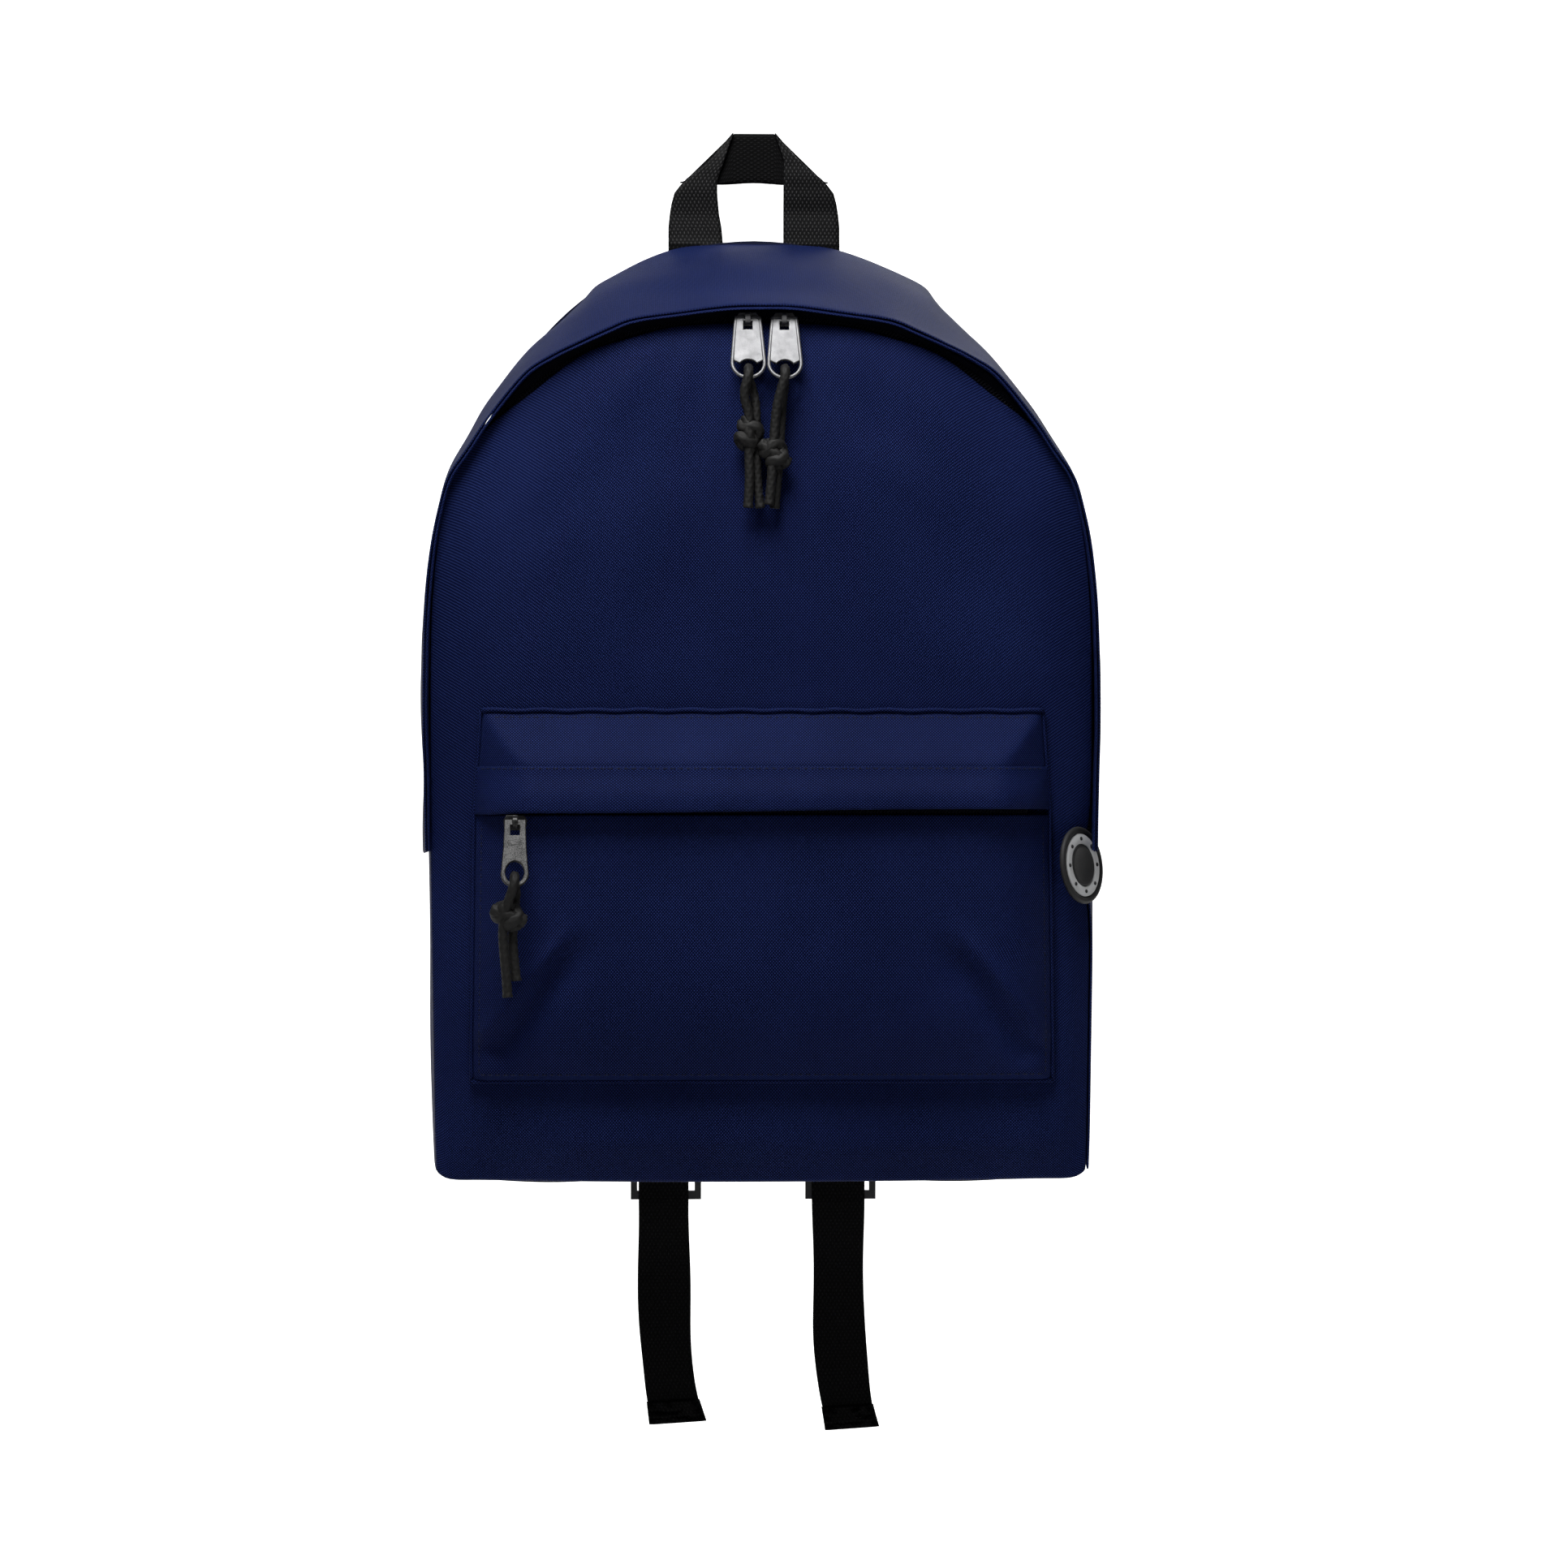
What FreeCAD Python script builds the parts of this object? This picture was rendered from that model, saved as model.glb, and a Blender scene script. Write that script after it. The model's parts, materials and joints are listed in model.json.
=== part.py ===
import FreeCAD, Part
import math
import os
import Sketcher

# School backpack that hangs from its carry handle.
# X runs across the bag, Y runs from the front pocket to the wearer's back, Z is up.
# The origin is the point of the handle that a hook takes: under the middle of its top.
# All sizes are millimetres and degrees.

doc = FreeCAD.newDocument("school_backpack")
sizes = doc.addObject("Spreadsheet::Sheet", "sizes")

DRIVING_SIZES = {
    # overall
    "bag_wide": 296, "bag_tall": 429, "rim_deep": 118, "hang_gap": 27,
    "front_tall": 393, "rim_narrow": 4, "rim_arch_radius": 192, "rim_arch_half": 38,
    "back_arch_radius": 130, "back_arch_half": 58, "base_corner": 14, "base_trim": 0.2,
    # cloth and foam
    "cloth": 1.2, "foam_thick": 4, "foam_inset": 8, "fit_gap": 0.3,
    # front panel, which bulges in two steps
    "bulge_edge": 8, "bulge_full": 12, "bulge_step": 12, "bulge_flat": 36,
    # main zip
    "tape_wide": 4, "tape_thick": 0.8, "coil_wide": 2.2, "coil_thick": 2,
    "zip_end_up": 146, "flap_end_up": 14, "flap_reach": 7.6, "flap_cover": 5,
    "end_tab_wide": 14, "end_tab_tall": 20, "seam_band": 1.2,
    # sliders and pulls
    "slider_wide": 10, "slider_plate": 1.2, "slider_gap": 0.4, "crown_drop": 4.6,
    "crown_out": 2.6, "crown_radius": 2.6, "crown_hole": 1.5, "crown_wide": 2.5,
    "left_slider_turn": -2.0, "right_slider_turn": 3.1, "pull_tilt": 24,
    "pull_long": 31.2, "pull_top": 12, "pull_low": 15.4, "pull_thick": 1.6, "pull_bar": 1.6,
    "pull_window_wide": 5.6, "pull_window_tall": 6.4, "ring_hole": 3.1, "ring_bar": 2,
    "pull_round": 4, "pocket_pull_top": 9.4, "pocket_pull_low": 11.6,
    # cords on the pulls
    "cord_thick": 4.2, "knot_wide": 11, "knot_tall": 16, "knot_deep": 8.6,
    # front pocket
    "pocket_wide": 254, "pocket_up": 45, "pocket_tall": 163, "pocket_deep": 20,
    "pocket_slope": 24, "pocket_round": 10, "pocket_zip_wide": 232, "pocket_slider_x": -108.5,
    "pocket_zip_drop": 14,
    # badge on the right side
    "badge_wide": 34, "badge_thick": 1.6, "badge_up": 140, "badge_turn": 54,
    "badge_in": 7.5, "badge_out": 7.9, "badge_ring_outer": 14, "badge_ring_inner": 9,
    "badge_relief": 0.5,
    # webbing, handle and yoke
    "webbing": 25, "webbing_thick": 1.8, "handle_half": 40, "handle_top": 24,
    "handle_top_half": 12, "handle_elbow": 28,
    "yoke_wide": 168, "yoke_top_wide": 74, "yoke_tall": 38, "yoke_down": 6,
    # shoulder straps
    "strap_apart": 82, "strap_wide": 62, "strap_thick": 12, "strap_bow": 12,
    "strap_top_gap": 2.2, "strap_low_gap": 7, "strap_low_up": 16,
    "lock_wide": 33, "lock_tall": 25, "lock_thick": 4, "lock_bar": 4, "lock_drop": 19,
    "tail_long": 108, "hem_tall": 11, "corner_tab": 36, "corner_tab_in": 3, "corner_tab_up": 5,
}
for row, (name, value) in enumerate(DRIVING_SIZES.items(), start=1):
    sizes.set(f"A{row}", str(value))
    sizes.setAlias(f"A{row}", name)
doc.recompute()

subparts = []


def word(text):
    """Turn the names of sizes in an expression into references to the sheet."""
    for name in sorted(DRIVING_SIZES, key=len, reverse=True):
        text = text.replace(f"<{name}>", f"sizes.{name}")
    return text


def number(expression):
    """Value of an expression at the present sizes."""
    return float(sizes.evalExpression(str(expression)))


# Levels and planes that several pieces share.
BACK_Y = word("(0 - <webbing_thick> / 2)")
LINING_Y = word(f"({BACK_Y} - 2 * <cloth> - <foam_thick>)")
RIM_Y = word(f"({BACK_Y} - <rim_deep>)")
FRONT_Y = word(f"({RIM_Y} - <bulge_full>)")
POCKET_Y = word(f"({FRONT_Y} - <pocket_deep>)")
BACK_TOP = word("(0 - <hang_gap>)")
BASE = word(f"({BACK_TOP} - <bag_tall>)")
RIM_TOP = word(f"({BASE} + <front_tall>)")
ARCH_CENTRE = word(f"({RIM_TOP} - <rim_arch_radius>)")
ZIP_END = word(f"({BASE} + <zip_end_up>)")
HALF = word("(<bag_wide> / 2)")
CHAIN_IN = word("(<tape_wide> + <coil_wide>)")
ZIP_BAND = word("(2 * <tape_wide> + 2 * <coil_wide>)")


def new_body(name):
    body = doc.addObject("PartDesign::Body", name)
    body.Label = name
    return body


def keep(piece):
    """Count an object of the document as a sub-part of the bag."""
    subparts.append(piece)
    return piece


def plane_of(body, plane):
    return [item for item in body.Origin.OriginFeatures if item.Role == f"{plane}_Plane"][0]


def arc_between(start, end, radius, turn):
    """Centre of the arc under half a circle from start to end, turn +1 anticlockwise."""
    middle = (start + end) * 0.5
    along = end - start
    rise = math.sqrt(max(radius ** 2 - (along.Length / 2) ** 2, 0.0))
    side = FreeCAD.Vector(-along.y, along.x, 0).normalize()
    return middle + side * (rise * turn)


def add_loop(sketch, loop):
    """Draw a closed loop of (x, y) corners; (x, y, radius, turn) is reached by an arc."""
    spots = [FreeCAD.Vector(number(item[0]), number(item[1]), 0) for item in loop]
    first = sketch.GeometryCount
    ends = []
    for index, item in enumerate(loop):
        begin = spots[index - 1]
        end = spots[index]
        if len(item) == 2:
            sketch.addGeometry(Part.LineSegment(begin, end))
            ends.append((1, 2))
            continue
        radius = number(item[2])
        centre = arc_between(begin, end, radius, item[3])
        low, high = (begin, end) if item[3] > 0 else (end, begin)
        low_angle = math.atan2(low.y - centre.y, low.x - centre.x)
        high_angle = math.atan2(high.y - centre.y, high.x - centre.x)
        if high_angle < low_angle:
            high_angle += 2 * math.pi
        circle = Part.Circle(centre, FreeCAD.Vector(0, 0, 1), radius)
        sketch.addGeometry(Part.ArcOfCircle(circle, low_angle, high_angle))
        ends.append((1, 2) if item[3] > 0 else (2, 1))
    count = len(loop)
    for index, item in enumerate(loop):
        here = first + index
        after = first + (index + 1) % count
        leaving = ends[(index + 1) % count][0]
        sketch.addConstraint(Sketcher.Constraint("Coincident", here, ends[index][1], after, leaving))
        for kind, expression in (("DistanceX", item[0]), ("DistanceY", item[1])):
            rule = Sketcher.Constraint(kind, -1, 1, here, ends[index][1], number(expression))
            spot = sketch.addConstraint(rule)
            sketch.setExpression(f"Constraints[{spot}]", expression)
        if len(item) == 4:
            spot = sketch.addConstraint(Sketcher.Constraint("Radius", here, number(item[2])))
            sketch.setExpression(f"Constraints[{spot}]", item[2])


def add_circle(sketch, x, y, radius):
    centre = FreeCAD.Vector(number(x), number(y), 0)
    circle = Part.Circle(centre, FreeCAD.Vector(0, 0, 1), number(radius))
    spot = sketch.addGeometry(circle)
    rules = (
        ("DistanceX", (-1, 1, spot, 3), x),
        ("DistanceY", (-1, 1, spot, 3), y),
        ("Radius", (spot,), radius),
    )
    for kind, targets, expression in rules:
        rule = sketch.addConstraint(Sketcher.Constraint(kind, *targets, number(expression)))
        sketch.setExpression(f"Constraints[{rule}]", expression)


def draw(body, plane, at, loops):
    """Sketch on an origin plane, moved to a coordinate: y for XZ, x for YZ, z for XY."""
    sketch = body.newObject("Sketcher::SketchObject", f"{body.Name}_sketch")
    sketch.AttachmentSupport = (plane_of(body, plane), [""])
    sketch.MapMode = "FlatFace"
    sketch.setExpression("AttachmentOffset.Base.z", f"0 - ({at})" if plane == "XZ" else at)
    for loop in loops:
        if loop[0] == "circle":
            add_circle(sketch, *loop[1:])
        else:
            add_loop(sketch, loop)
    return sketch


def pad(body, plane, at, loops, thick):
    """Pad a sketch: XZ grows towards the front, YZ towards +X and XY upwards."""
    feature = body.newObject("PartDesign::Pad", f"{body.Name}_pad")
    feature.Profile = draw(body, plane, at, loops)
    feature.setExpression("Length", thick)
    body.Tip = feature
    return feature


def slab(name, plane, at, loops, thick):
    """One sub-part that is cut from sheet: a single pad."""
    body = new_body(name)
    pad(body, plane, at, loops, thick)
    return keep(body)


def loft(body, kind, sections):
    """Additive or subtractive loft through (y, outline) sections."""
    sketches = [draw(body, "XZ", at, [outline]) for at, outline in sections]
    feature = body.newObject(f"PartDesign::{kind}Loft", f"{body.Name}_{kind.lower()}")
    feature.Profile = sketches[0]
    feature.Sections = sketches[1:]
    feature.Ruled = True
    body.Tip = feature
    return feature


def box(name, low, high):
    """Block between two corners, each coordinate an expression."""
    block = doc.addObject("Part::Box", name)
    for side, start, stop in zip(("Length", "Width", "Height"), low, high):
        block.setExpression(side, f"({stop}) - ({start})")
    for axis, start in zip("xyz", low):
        block.setExpression(f"Placement.Base.{axis}", start)
    return block


def boolean(kind, name, base, tool):
    piece = doc.addObject(f"Part::{kind}", name)
    piece.Label = name
    piece.Base = base
    piece.Tool = tool
    return piece


def rectangle(low_x, low_y, high_x, high_y):
    return [(low_x, low_y), (high_x, low_y), (high_x, high_y), (low_x, high_y)]


def arch_points(half_wide, radius, half_angle, top, inset):
    """Right-hand points of an arch outline moved in by inset, and the two radii."""
    small = f"(({half_wide} - {radius} * sin({half_angle})) / (1 - sin({half_angle})))"
    centre = f"({top} - {radius})"
    spring_z = f"({centre} + ({radius} - {small}) * cos({half_angle}))"
    join_x = f"(({radius} - {inset}) * sin({half_angle}))"
    join_z = f"({centre} + ({radius} - {inset}) * cos({half_angle}))"
    return {
        "side": f"({half_wide} - {inset})", "spring_z": spring_z, "join_x": join_x, "join_z": join_z,
        "small": f"({small} - {inset})", "large": f"({radius} - {inset})",
    }


RIM_HALF = word(f"({HALF} - <rim_narrow>)")
RIM = (RIM_HALF, word("<rim_arch_radius>"), word("<rim_arch_half>"), RIM_TOP)
BACK = (HALF, word("<back_arch_radius>"), word("<back_arch_half>"), BACK_TOP)


def minus(expression):
    return f"(0 - {expression})"


def panel_outline(arch, inset, foot=BASE):
    """Whole outline of a panel: arched top, straight sides and a rounded base."""
    spots = arch_points(*arch, inset)
    base = f"({foot} + {inset})"
    corner = word(f"(<base_corner> - min({inset}; <base_corner> / 2))")
    inner = f"({spots['side']} - {corner})"
    return [
        (minus(inner), base, corner, 1),
        (inner, base),
        (spots["side"], f"({base} + {corner})", corner, 1),
        (spots["side"], spots["spring_z"]),
        (spots["join_x"], spots["join_z"], spots["small"], 1),
        (minus(spots["join_x"]), spots["join_z"], spots["large"], 1),
        (minus(spots["side"]), spots["spring_z"], spots["small"], 1),
        (minus(spots["side"]), f"({base} + {corner})"),
    ]


def arch_band(outer, inner, foot):
    """Band that follows the rim's arch between two insets, ending at height foot."""
    out = arch_points(*RIM, outer)
    into = arch_points(*RIM, inner)
    return [
        (minus(out["side"]), foot),
        (minus(into["side"]), foot),
        (minus(into["side"]), into["spring_z"]),
        (minus(into["join_x"]), into["join_z"], into["small"], -1),
        (into["join_x"], into["join_z"], into["large"], -1),
        (into["side"], into["spring_z"], into["small"], -1),
        (into["side"], foot),
        (out["side"], foot),
        (out["side"], out["spring_z"]),
        (out["join_x"], out["join_z"], out["small"], 1),
        (minus(out["join_x"]), out["join_z"], out["large"], 1),
        (minus(out["side"]), out["spring_z"], out["small"], 1),
    ]


# Back panel: outer cloth, foam board and lining.
slab("back_outer", "XZ", BACK_Y, [panel_outline(BACK, "0")], word("<cloth>"))
FOAM_Y = word(f"({BACK_Y} - <cloth>)")
INSIDE_Y = word(f"({FOAM_Y} - <foam_thick>)")
slab("back_foam", "XZ", FOAM_Y, [panel_outline(BACK, word("<foam_inset>"))], word("<foam_thick>"))
slab("back_lining", "XZ", INSIDE_Y, [panel_outline(BACK, "0")], word("<cloth>"))

# Gusset: one band of cloth from the back panel to the rim, cut into hood, sides and base.
# Its foot starts a little low and is trimmed level, so the bag stands on a flat face.
UNTRIMMED = word(f"({BASE} - <base_trim>)")
gusset = new_body("gusset_band")
loft(gusset, "Additive", [
    (LINING_Y, panel_outline(BACK, "0", UNTRIMMED)),
    (RIM_Y, panel_outline(RIM, "0", UNTRIMMED)),
])
loft(gusset, "Subtractive", [
    (LINING_Y, panel_outline(BACK, word("<cloth>"), UNTRIMMED)),
    (RIM_Y, panel_outline(RIM, word("<cloth>"), UNTRIMMED)),
])
WIDE = word("<bag_wide>")
BASE_EDGE = word(f"({BASE} + <base_corner>)")
hood_space = box("hood_space", (minus(WIDE), RIM_Y, ZIP_END), (WIDE, "0", BACK_TOP))
keep(boolean("Common", "hood", gusset, hood_space))
left_space = box("left_space", (minus(WIDE), RIM_Y, BASE_EDGE), ("0", "0", ZIP_END))
keep(boolean("Common", "side_panel_left", gusset, left_space))
right_space = box("right_space", ("0", RIM_Y, BASE_EDGE), (WIDE, "0", ZIP_END))
keep(boolean("Common", "side_panel_right", gusset, right_space))
base_space = box("base_space", (minus(WIDE), RIM_Y, BASE), (WIDE, "0", BASE_EDGE))
keep(boolean("Common", "base_panel", gusset, base_space))

# Front panel: a shell that bulges forward from the zip.


def bulge_sections(sink):
    """Sections of the bulging front, drawn in by sink on every side."""
    first = f"({ZIP_BAND} + {sink})"
    second = word(f"({ZIP_BAND} + <bulge_step> + {sink})")
    third = word(f"({ZIP_BAND} + <bulge_step> + <bulge_flat> + {sink})")
    return [
        (RIM_Y, panel_outline(RIM, first)),
        (word(f"({RIM_Y} - <bulge_edge> + {sink})"), panel_outline(RIM, second)),
        (word(f"({FRONT_Y} + {sink})"), panel_outline(RIM, third)),
    ]


front_form = new_body("front_form")
loft(front_form, "Additive", bulge_sections("0"))
front_panel = new_body("front_panel")
loft(front_panel, "Additive", bulge_sections("0"))
loft(front_panel, "Subtractive", bulge_sections(word("<cloth>")))
keep(front_panel)

# Seam band that closes the front below the ends of the zip.
seam_whole = new_body("seam_whole")
seam_loops = [panel_outline(RIM, "0"), panel_outline(RIM, ZIP_BAND)]
pad(seam_whole, "XZ", RIM_Y, seam_loops, word("<seam_band>"))
SEAM_FACE = word(f"({RIM_Y} - <seam_band>)")
seam_space = box("seam_space", (minus(WIDE), SEAM_FACE, BASE), (WIDE, RIM_Y, ZIP_END))
keep(boolean("Common", "front_seam_band", seam_whole, seam_space))

# Main zip: two tapes and two coils along the arch, with stops and cloth tabs at its ends.
COIL_OUT = word("<tape_wide>")
COIL_IN = word("(<tape_wide> + 2 * <coil_wide>)")
TAPE_FOOT = word(f"({ZIP_END} + <fit_gap>)")
slab("zip_tape_hood", "XZ", RIM_Y, [arch_band("0", COIL_OUT, TAPE_FOOT)], word("<tape_thick>"))
slab("zip_coil_hood", "XZ", RIM_Y, [arch_band(COIL_OUT, CHAIN_IN, TAPE_FOOT)], word("<coil_thick>"))
slab("zip_coil_front", "XZ", RIM_Y, [arch_band(CHAIN_IN, COIL_IN, TAPE_FOOT)], word("<coil_thick>"))
slab("zip_tape_front", "XZ", RIM_Y, [arch_band(COIL_IN, ZIP_BAND, TAPE_FOOT)], word("<tape_thick>"))
TAB_FACE = word(f"({RIM_Y} - <seam_band>)")
TAB_FOOT = word(f"({ZIP_END} - <end_tab_tall>)")
for side, sign in (("left", -1), ("right", 1)):
    outer_x = f"({sign} * {RIM_HALF})"
    inner_x = word(f"({sign} * ({RIM_HALF} - <end_tab_wide>))")
    corners = (outer_x, inner_x) if sign < 0 else (inner_x, outer_x)
    outline = rectangle(corners[0], TAB_FOOT, corners[1], ZIP_END)
    slab(f"zip_end_tab_{side}", "XZ", TAB_FACE, [outline], word("<cloth>"))

# Rain flap over the main zip: a wall that carries the hood forward, and a lip.
flap = new_body("main_rain_flap")
flap_end = word(f"({ZIP_END} + <flap_end_up>)")
pad(flap, "XZ", RIM_Y, [arch_band(minus(word("<cloth>")), "0", flap_end)], word("<flap_reach>"))
lip_y = word(f"({RIM_Y} - <flap_reach> + <cloth>)")
pad(flap, "XZ", lip_y, [arch_band(minus(word("<cloth>")), word("<flap_cover>"), flap_end)], word("<cloth>"))
keep(flap)


def slider(name, chain_z, face_y):
    """Slider drawn at x = 0: a cap over the chain and a crown that holds the pull."""
    body = new_body(name)
    half = word("(<slider_wide> / 2)")
    front = word(f"({face_y} - <coil_thick> - <slider_gap>)")
    cap = rectangle(minus(half), f"({chain_z} - {half})", half, f"({chain_z} + {half})")
    pad(body, "XZ", front, [cap], word("<slider_plate>"))
    outside = word(f"({front} - <slider_plate>)")
    eye_y = word(f"({outside} - <crown_out>)")
    eye_z = word(f"({chain_z} - <crown_drop>)")
    rim = word("<crown_radius>")
    loop = [
        (word(f"({outside} + <slider_plate> / 2)"), f"({eye_z} - {rim})"),
        (word(f"({outside} + <slider_plate> / 2)"), f"({eye_z} + {rim})"),
        (eye_y, f"({eye_z} + {rim})"),
        (f"({eye_y} - {rim})", eye_z, rim, 1),
        (eye_y, f"({eye_z} - {rim})", rim, 1),
    ]
    hole = ("circle", eye_y, eye_z, word("<crown_hole>"))
    pad(body, "YZ", word("(0 - <crown_wide> / 2)"), [loop, hole], word("<crown_wide>"))
    return keep(body), eye_y, eye_z


def pull(name, x, y, z, top_wide, low_wide):
    """Flat metal pull: bar in the crown's eye, window, tapered plate and cord hole."""
    body = new_body(name)
    top = word("(<pull_bar> / 2)")
    foot = word(f"({top} - <pull_long>)")
    top_half = f"({top_wide} / 2)"
    low_half = f"({low_wide} / 2)"
    round_foot = word("<pull_round>")
    flat = f"({low_half} - {round_foot})"
    plate = [
        (minus(flat), foot, round_foot, 1),
        (flat, foot),
        (low_half, f"({foot} + {round_foot})", round_foot, 1),
        (top_half, top),
        (minus(top_half), top),
        (minus(low_half), f"({foot} + {round_foot})"),
    ]
    window_half = word("(<pull_window_wide> / 2)")
    window_top = word("(0 - <pull_bar> / 2)")
    window_low = word(f"({window_top} - <pull_window_tall>)")
    window = rectangle(minus(window_half), window_low, window_half, window_top)
    hole_z = word(f"({foot} + <ring_bar> + <ring_hole>)")
    hole = ("circle", "0", hole_z, word("<ring_hole>"))
    pad(body, "XZ", word("(<pull_thick> / 2)"), [plate, window, hole], word("<pull_thick>"))
    tilt = word("rotation(vector(1; 0; 0); 0 - <pull_tilt>)")
    body.setExpression("Placement", f"placement(vector({x}; {y}; {z}); {tilt})")
    keep(body)
    hole_y = word(f"({y} + ({hole_z}) * sin(<pull_tilt>))")
    return x, hole_y, word(f"({z} + ({hole_z}) * cos(<pull_tilt>))")


# The top of each cord is a bend over the bar of the ring; the tails hang side by side.
BEND_OVER_RING = [
    (0, -5.3, -3.4), (0, -3.9, -1.2), (0, -1.4, 0.1), (0, 1.1, 0.1), (0, 3.1, -1.0), (0, 4.2, -3.2),
]
CORD_ROUTES = {
    "left": [(-0.3, -2.9, -61.5), (0.5, -2.9, -50), (0.2, -2.9, -40), (0, -2.9, -30),
             (0.3, -3.2, -20), (-1.8, -4.2, -14.5), (-2.0, -5.1, -9.4)] + BEND_OVER_RING
            + [(1.4, 3.8, -7.6), (2.9, 2.0, -13), (3.4, 0.4, -20), (3.5, 0, -30), (3.6, -0.1, -40),
               (3.8, -0.2, -50), (5.1, -1, -61.5)],
    "right": [(-7.2, -3.4, -60), (-6.2, -3.4, -51), (-5.8, -3.4, -42), (-5.2, -3.4, -33),
              (-4.6, -3.3, -25), (-3.8, -3.9, -17), (-2.0, -5.0, -9.6)] + BEND_OVER_RING
             + [(-0.2, 4.0, -8), (-1.2, 2.2, -15), (-1.8, 0.4, -24), (-2.2, 0, -33), (-2.8, 0, -42),
                (-3.6, 0.2, -51), (-4.6, 0.3, -61.5)],
    "pocket": [(-3.0, -0.8, -52.5), (-3.6, -0.8, -43), (-4.6, -0.8, -33), (-5.2, -1.0, -24),
               (-4.4, -2.4, -16), (-2.2, -4.6, -9.6)] + BEND_OVER_RING
              + [(0.6, 4.2, -7.4), (0, 2.8, -13), (-0.8, 1.6, -20), (-0.9, 1.4, -28), (-0.3, 1.2, -36),
                 (0.8, 0.9, -45.5)],
}
KNOT_PLACES = {"left": (0, -1.5, -29), "right": (-4.8, -1.5, -37.5), "pocket": (-2.6, -0.5, -17)}


def cord_tube(name, hole, route):
    """Round cord along straight runs that tangent arcs join, hung from a hole."""
    centre = FreeCAD.Vector(*(number(value) for value in hole))
    radius = number(word("<cord_thick>")) / 2
    points = [centre + FreeCAD.Vector(*point) for point in route]
    edges = []
    here = points[0]
    bends = []
    for index in range(1, len(points) - 1):
        into = points[index] - points[index - 1]
        away = points[index + 1] - points[index]
        share = 0.45 * min(into.Length, away.Length)
        turn = into.getAngle(away)
        bends.append(share / math.tan(turn / 2))
        enter = points[index] - into.normalize() * share
        leave = points[index] + away.normalize() * share
        towards = (enter + leave) * 0.5
        depth = bends[-1] / math.cos(turn / 2) - bends[-1]
        crown = points[index] + (towards - points[index]).normalize() * depth
        edges.append(Part.LineSegment(here, enter).toShape())
        edges.append(Part.Arc(enter, crown, leave).toShape())
        here = leave
    edges.append(Part.LineSegment(here, points[-1]).toShape())
    path = Part.Wire(edges)
    start = points[1] - points[0]
    profile = Part.Wire(Part.Circle(points[0], start, radius).toShape())
    tube = doc.addObject("Part::Feature", name)
    tube.Label = name
    tube.Shape = path.makePipeShell([profile], True, False)
    wanted = math.pi * radius ** 2 * path.Length
    print(f"{name}: length {path.Length:.1f}, tightest arc {min(bends):.1f},"
          f" volume over section times length {tube.Shape.Volume / wanted:.4f}")
    return keep(tube)


def knot(name, hole, place):
    """Overhand knot, as one closed solid that the cord fits through."""
    solid = doc.addObject("Part::Ellipsoid", name)
    solid.Label = name
    for side, size in (("Radius1", "knot_tall"), ("Radius2", "knot_wide"), ("Radius3", "knot_deep")):
        solid.setExpression(side, word(f"<{size}> / 2"))
    for axis, start, step in zip("xyz", hole, place):
        solid.setExpression(f"Placement.Base.{axis}", f"{start} + ({step})")
    return keep(solid)


# The two main sliders meet near the top of the arch; each is drawn there and turned along it.
CHAIN_Z = f"({RIM_TOP} - {CHAIN_IN})"
for side in ("left", "right"):
    piece, eye_y, eye_z = slider(f"slider_{side}", CHAIN_Z, RIM_Y)
    turn = word(f"<{side}_slider_turn>")
    spin = f"rotation(vector(0; 1; 0); {turn})"
    back_down = f"placement(vector(0; 0; 0 - {ARCH_CENTRE}); rotation(vector(0; 1; 0); 0))"
    piece.setExpression("Placement", f"placement(vector(0; 0; {ARCH_CENTRE}); {spin}) * {back_down}")
    reach = f"({eye_z} - {ARCH_CENTRE})"
    eye_x = f"({reach} * sin({turn}))"
    hung_z = f"({ARCH_CENTRE} + {reach} * cos({turn}))"
    ring = pull(f"pull_{side}", eye_x, eye_y, hung_z, word("<pull_top>"), word("<pull_low>"))
    cord_tube(f"cord_{side}", ring, CORD_ROUTES[side])
    knot(f"knot_{side}", ring, KNOT_PLACES[side])

# Front pocket: a bellows shell with a sloping top, trimmed to the bulge of the front panel.
POCKET_FOOT = word(f"({BASE} + <pocket_up>)")
POCKET_TOP = word(f"({POCKET_FOOT} + <pocket_tall>)")
POCKET_STITCH = word(f"({POCKET_TOP} - <pocket_slope>)")
POCKET_HALF = word("(<pocket_wide> / 2)")
POCKET_ROUND = word("<pocket_round>")


def pocket_profile(sink):
    """Side view of the pocket, drawn in by sink, open towards the bag."""
    face = f"({POCKET_Y} + {sink})"
    foot = f"({POCKET_FOOT} + {sink})"
    bend = f"({POCKET_ROUND} - {sink})"
    return [
        (RIM_Y, foot),
        (RIM_Y, f"({POCKET_TOP} - {sink})"),
        (FRONT_Y, f"({POCKET_TOP} - {sink})"),
        (face, f"({POCKET_STITCH} - {sink})"),
        (face, f"({foot} + {bend})"),
        (f"({face} + {bend})", foot, bend, 1),
    ]


CLOTH = word("<cloth>")
pocket_shell = new_body("pocket_shell")
pocket_solid = pad(pocket_shell, "YZ", minus(POCKET_HALF), [pocket_profile("0")], f"2 * {POCKET_HALF}")
hollow = pocket_shell.newObject("PartDesign::Pocket", "pocket_hollow")
hollow.Profile = draw(pocket_shell, "YZ", f"{CLOTH} - {POCKET_HALF}", [pocket_profile(CLOTH)])
hollow.setExpression("Length", f"2 * ({POCKET_HALF} - {CLOTH})")
hollow.Reversed = True
pocket_shell.Tip = hollow
pocket_trimmed = boolean("Cut", "pocket_trimmed", pocket_shell, front_form)
above_stitch = box("above_stitch", (minus(WIDE), POCKET_Y, POCKET_STITCH), (WIDE, RIM_Y, POCKET_TOP))
keep(boolean("Common", "pocket_top_panel", pocket_trimmed, above_stitch))
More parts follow.
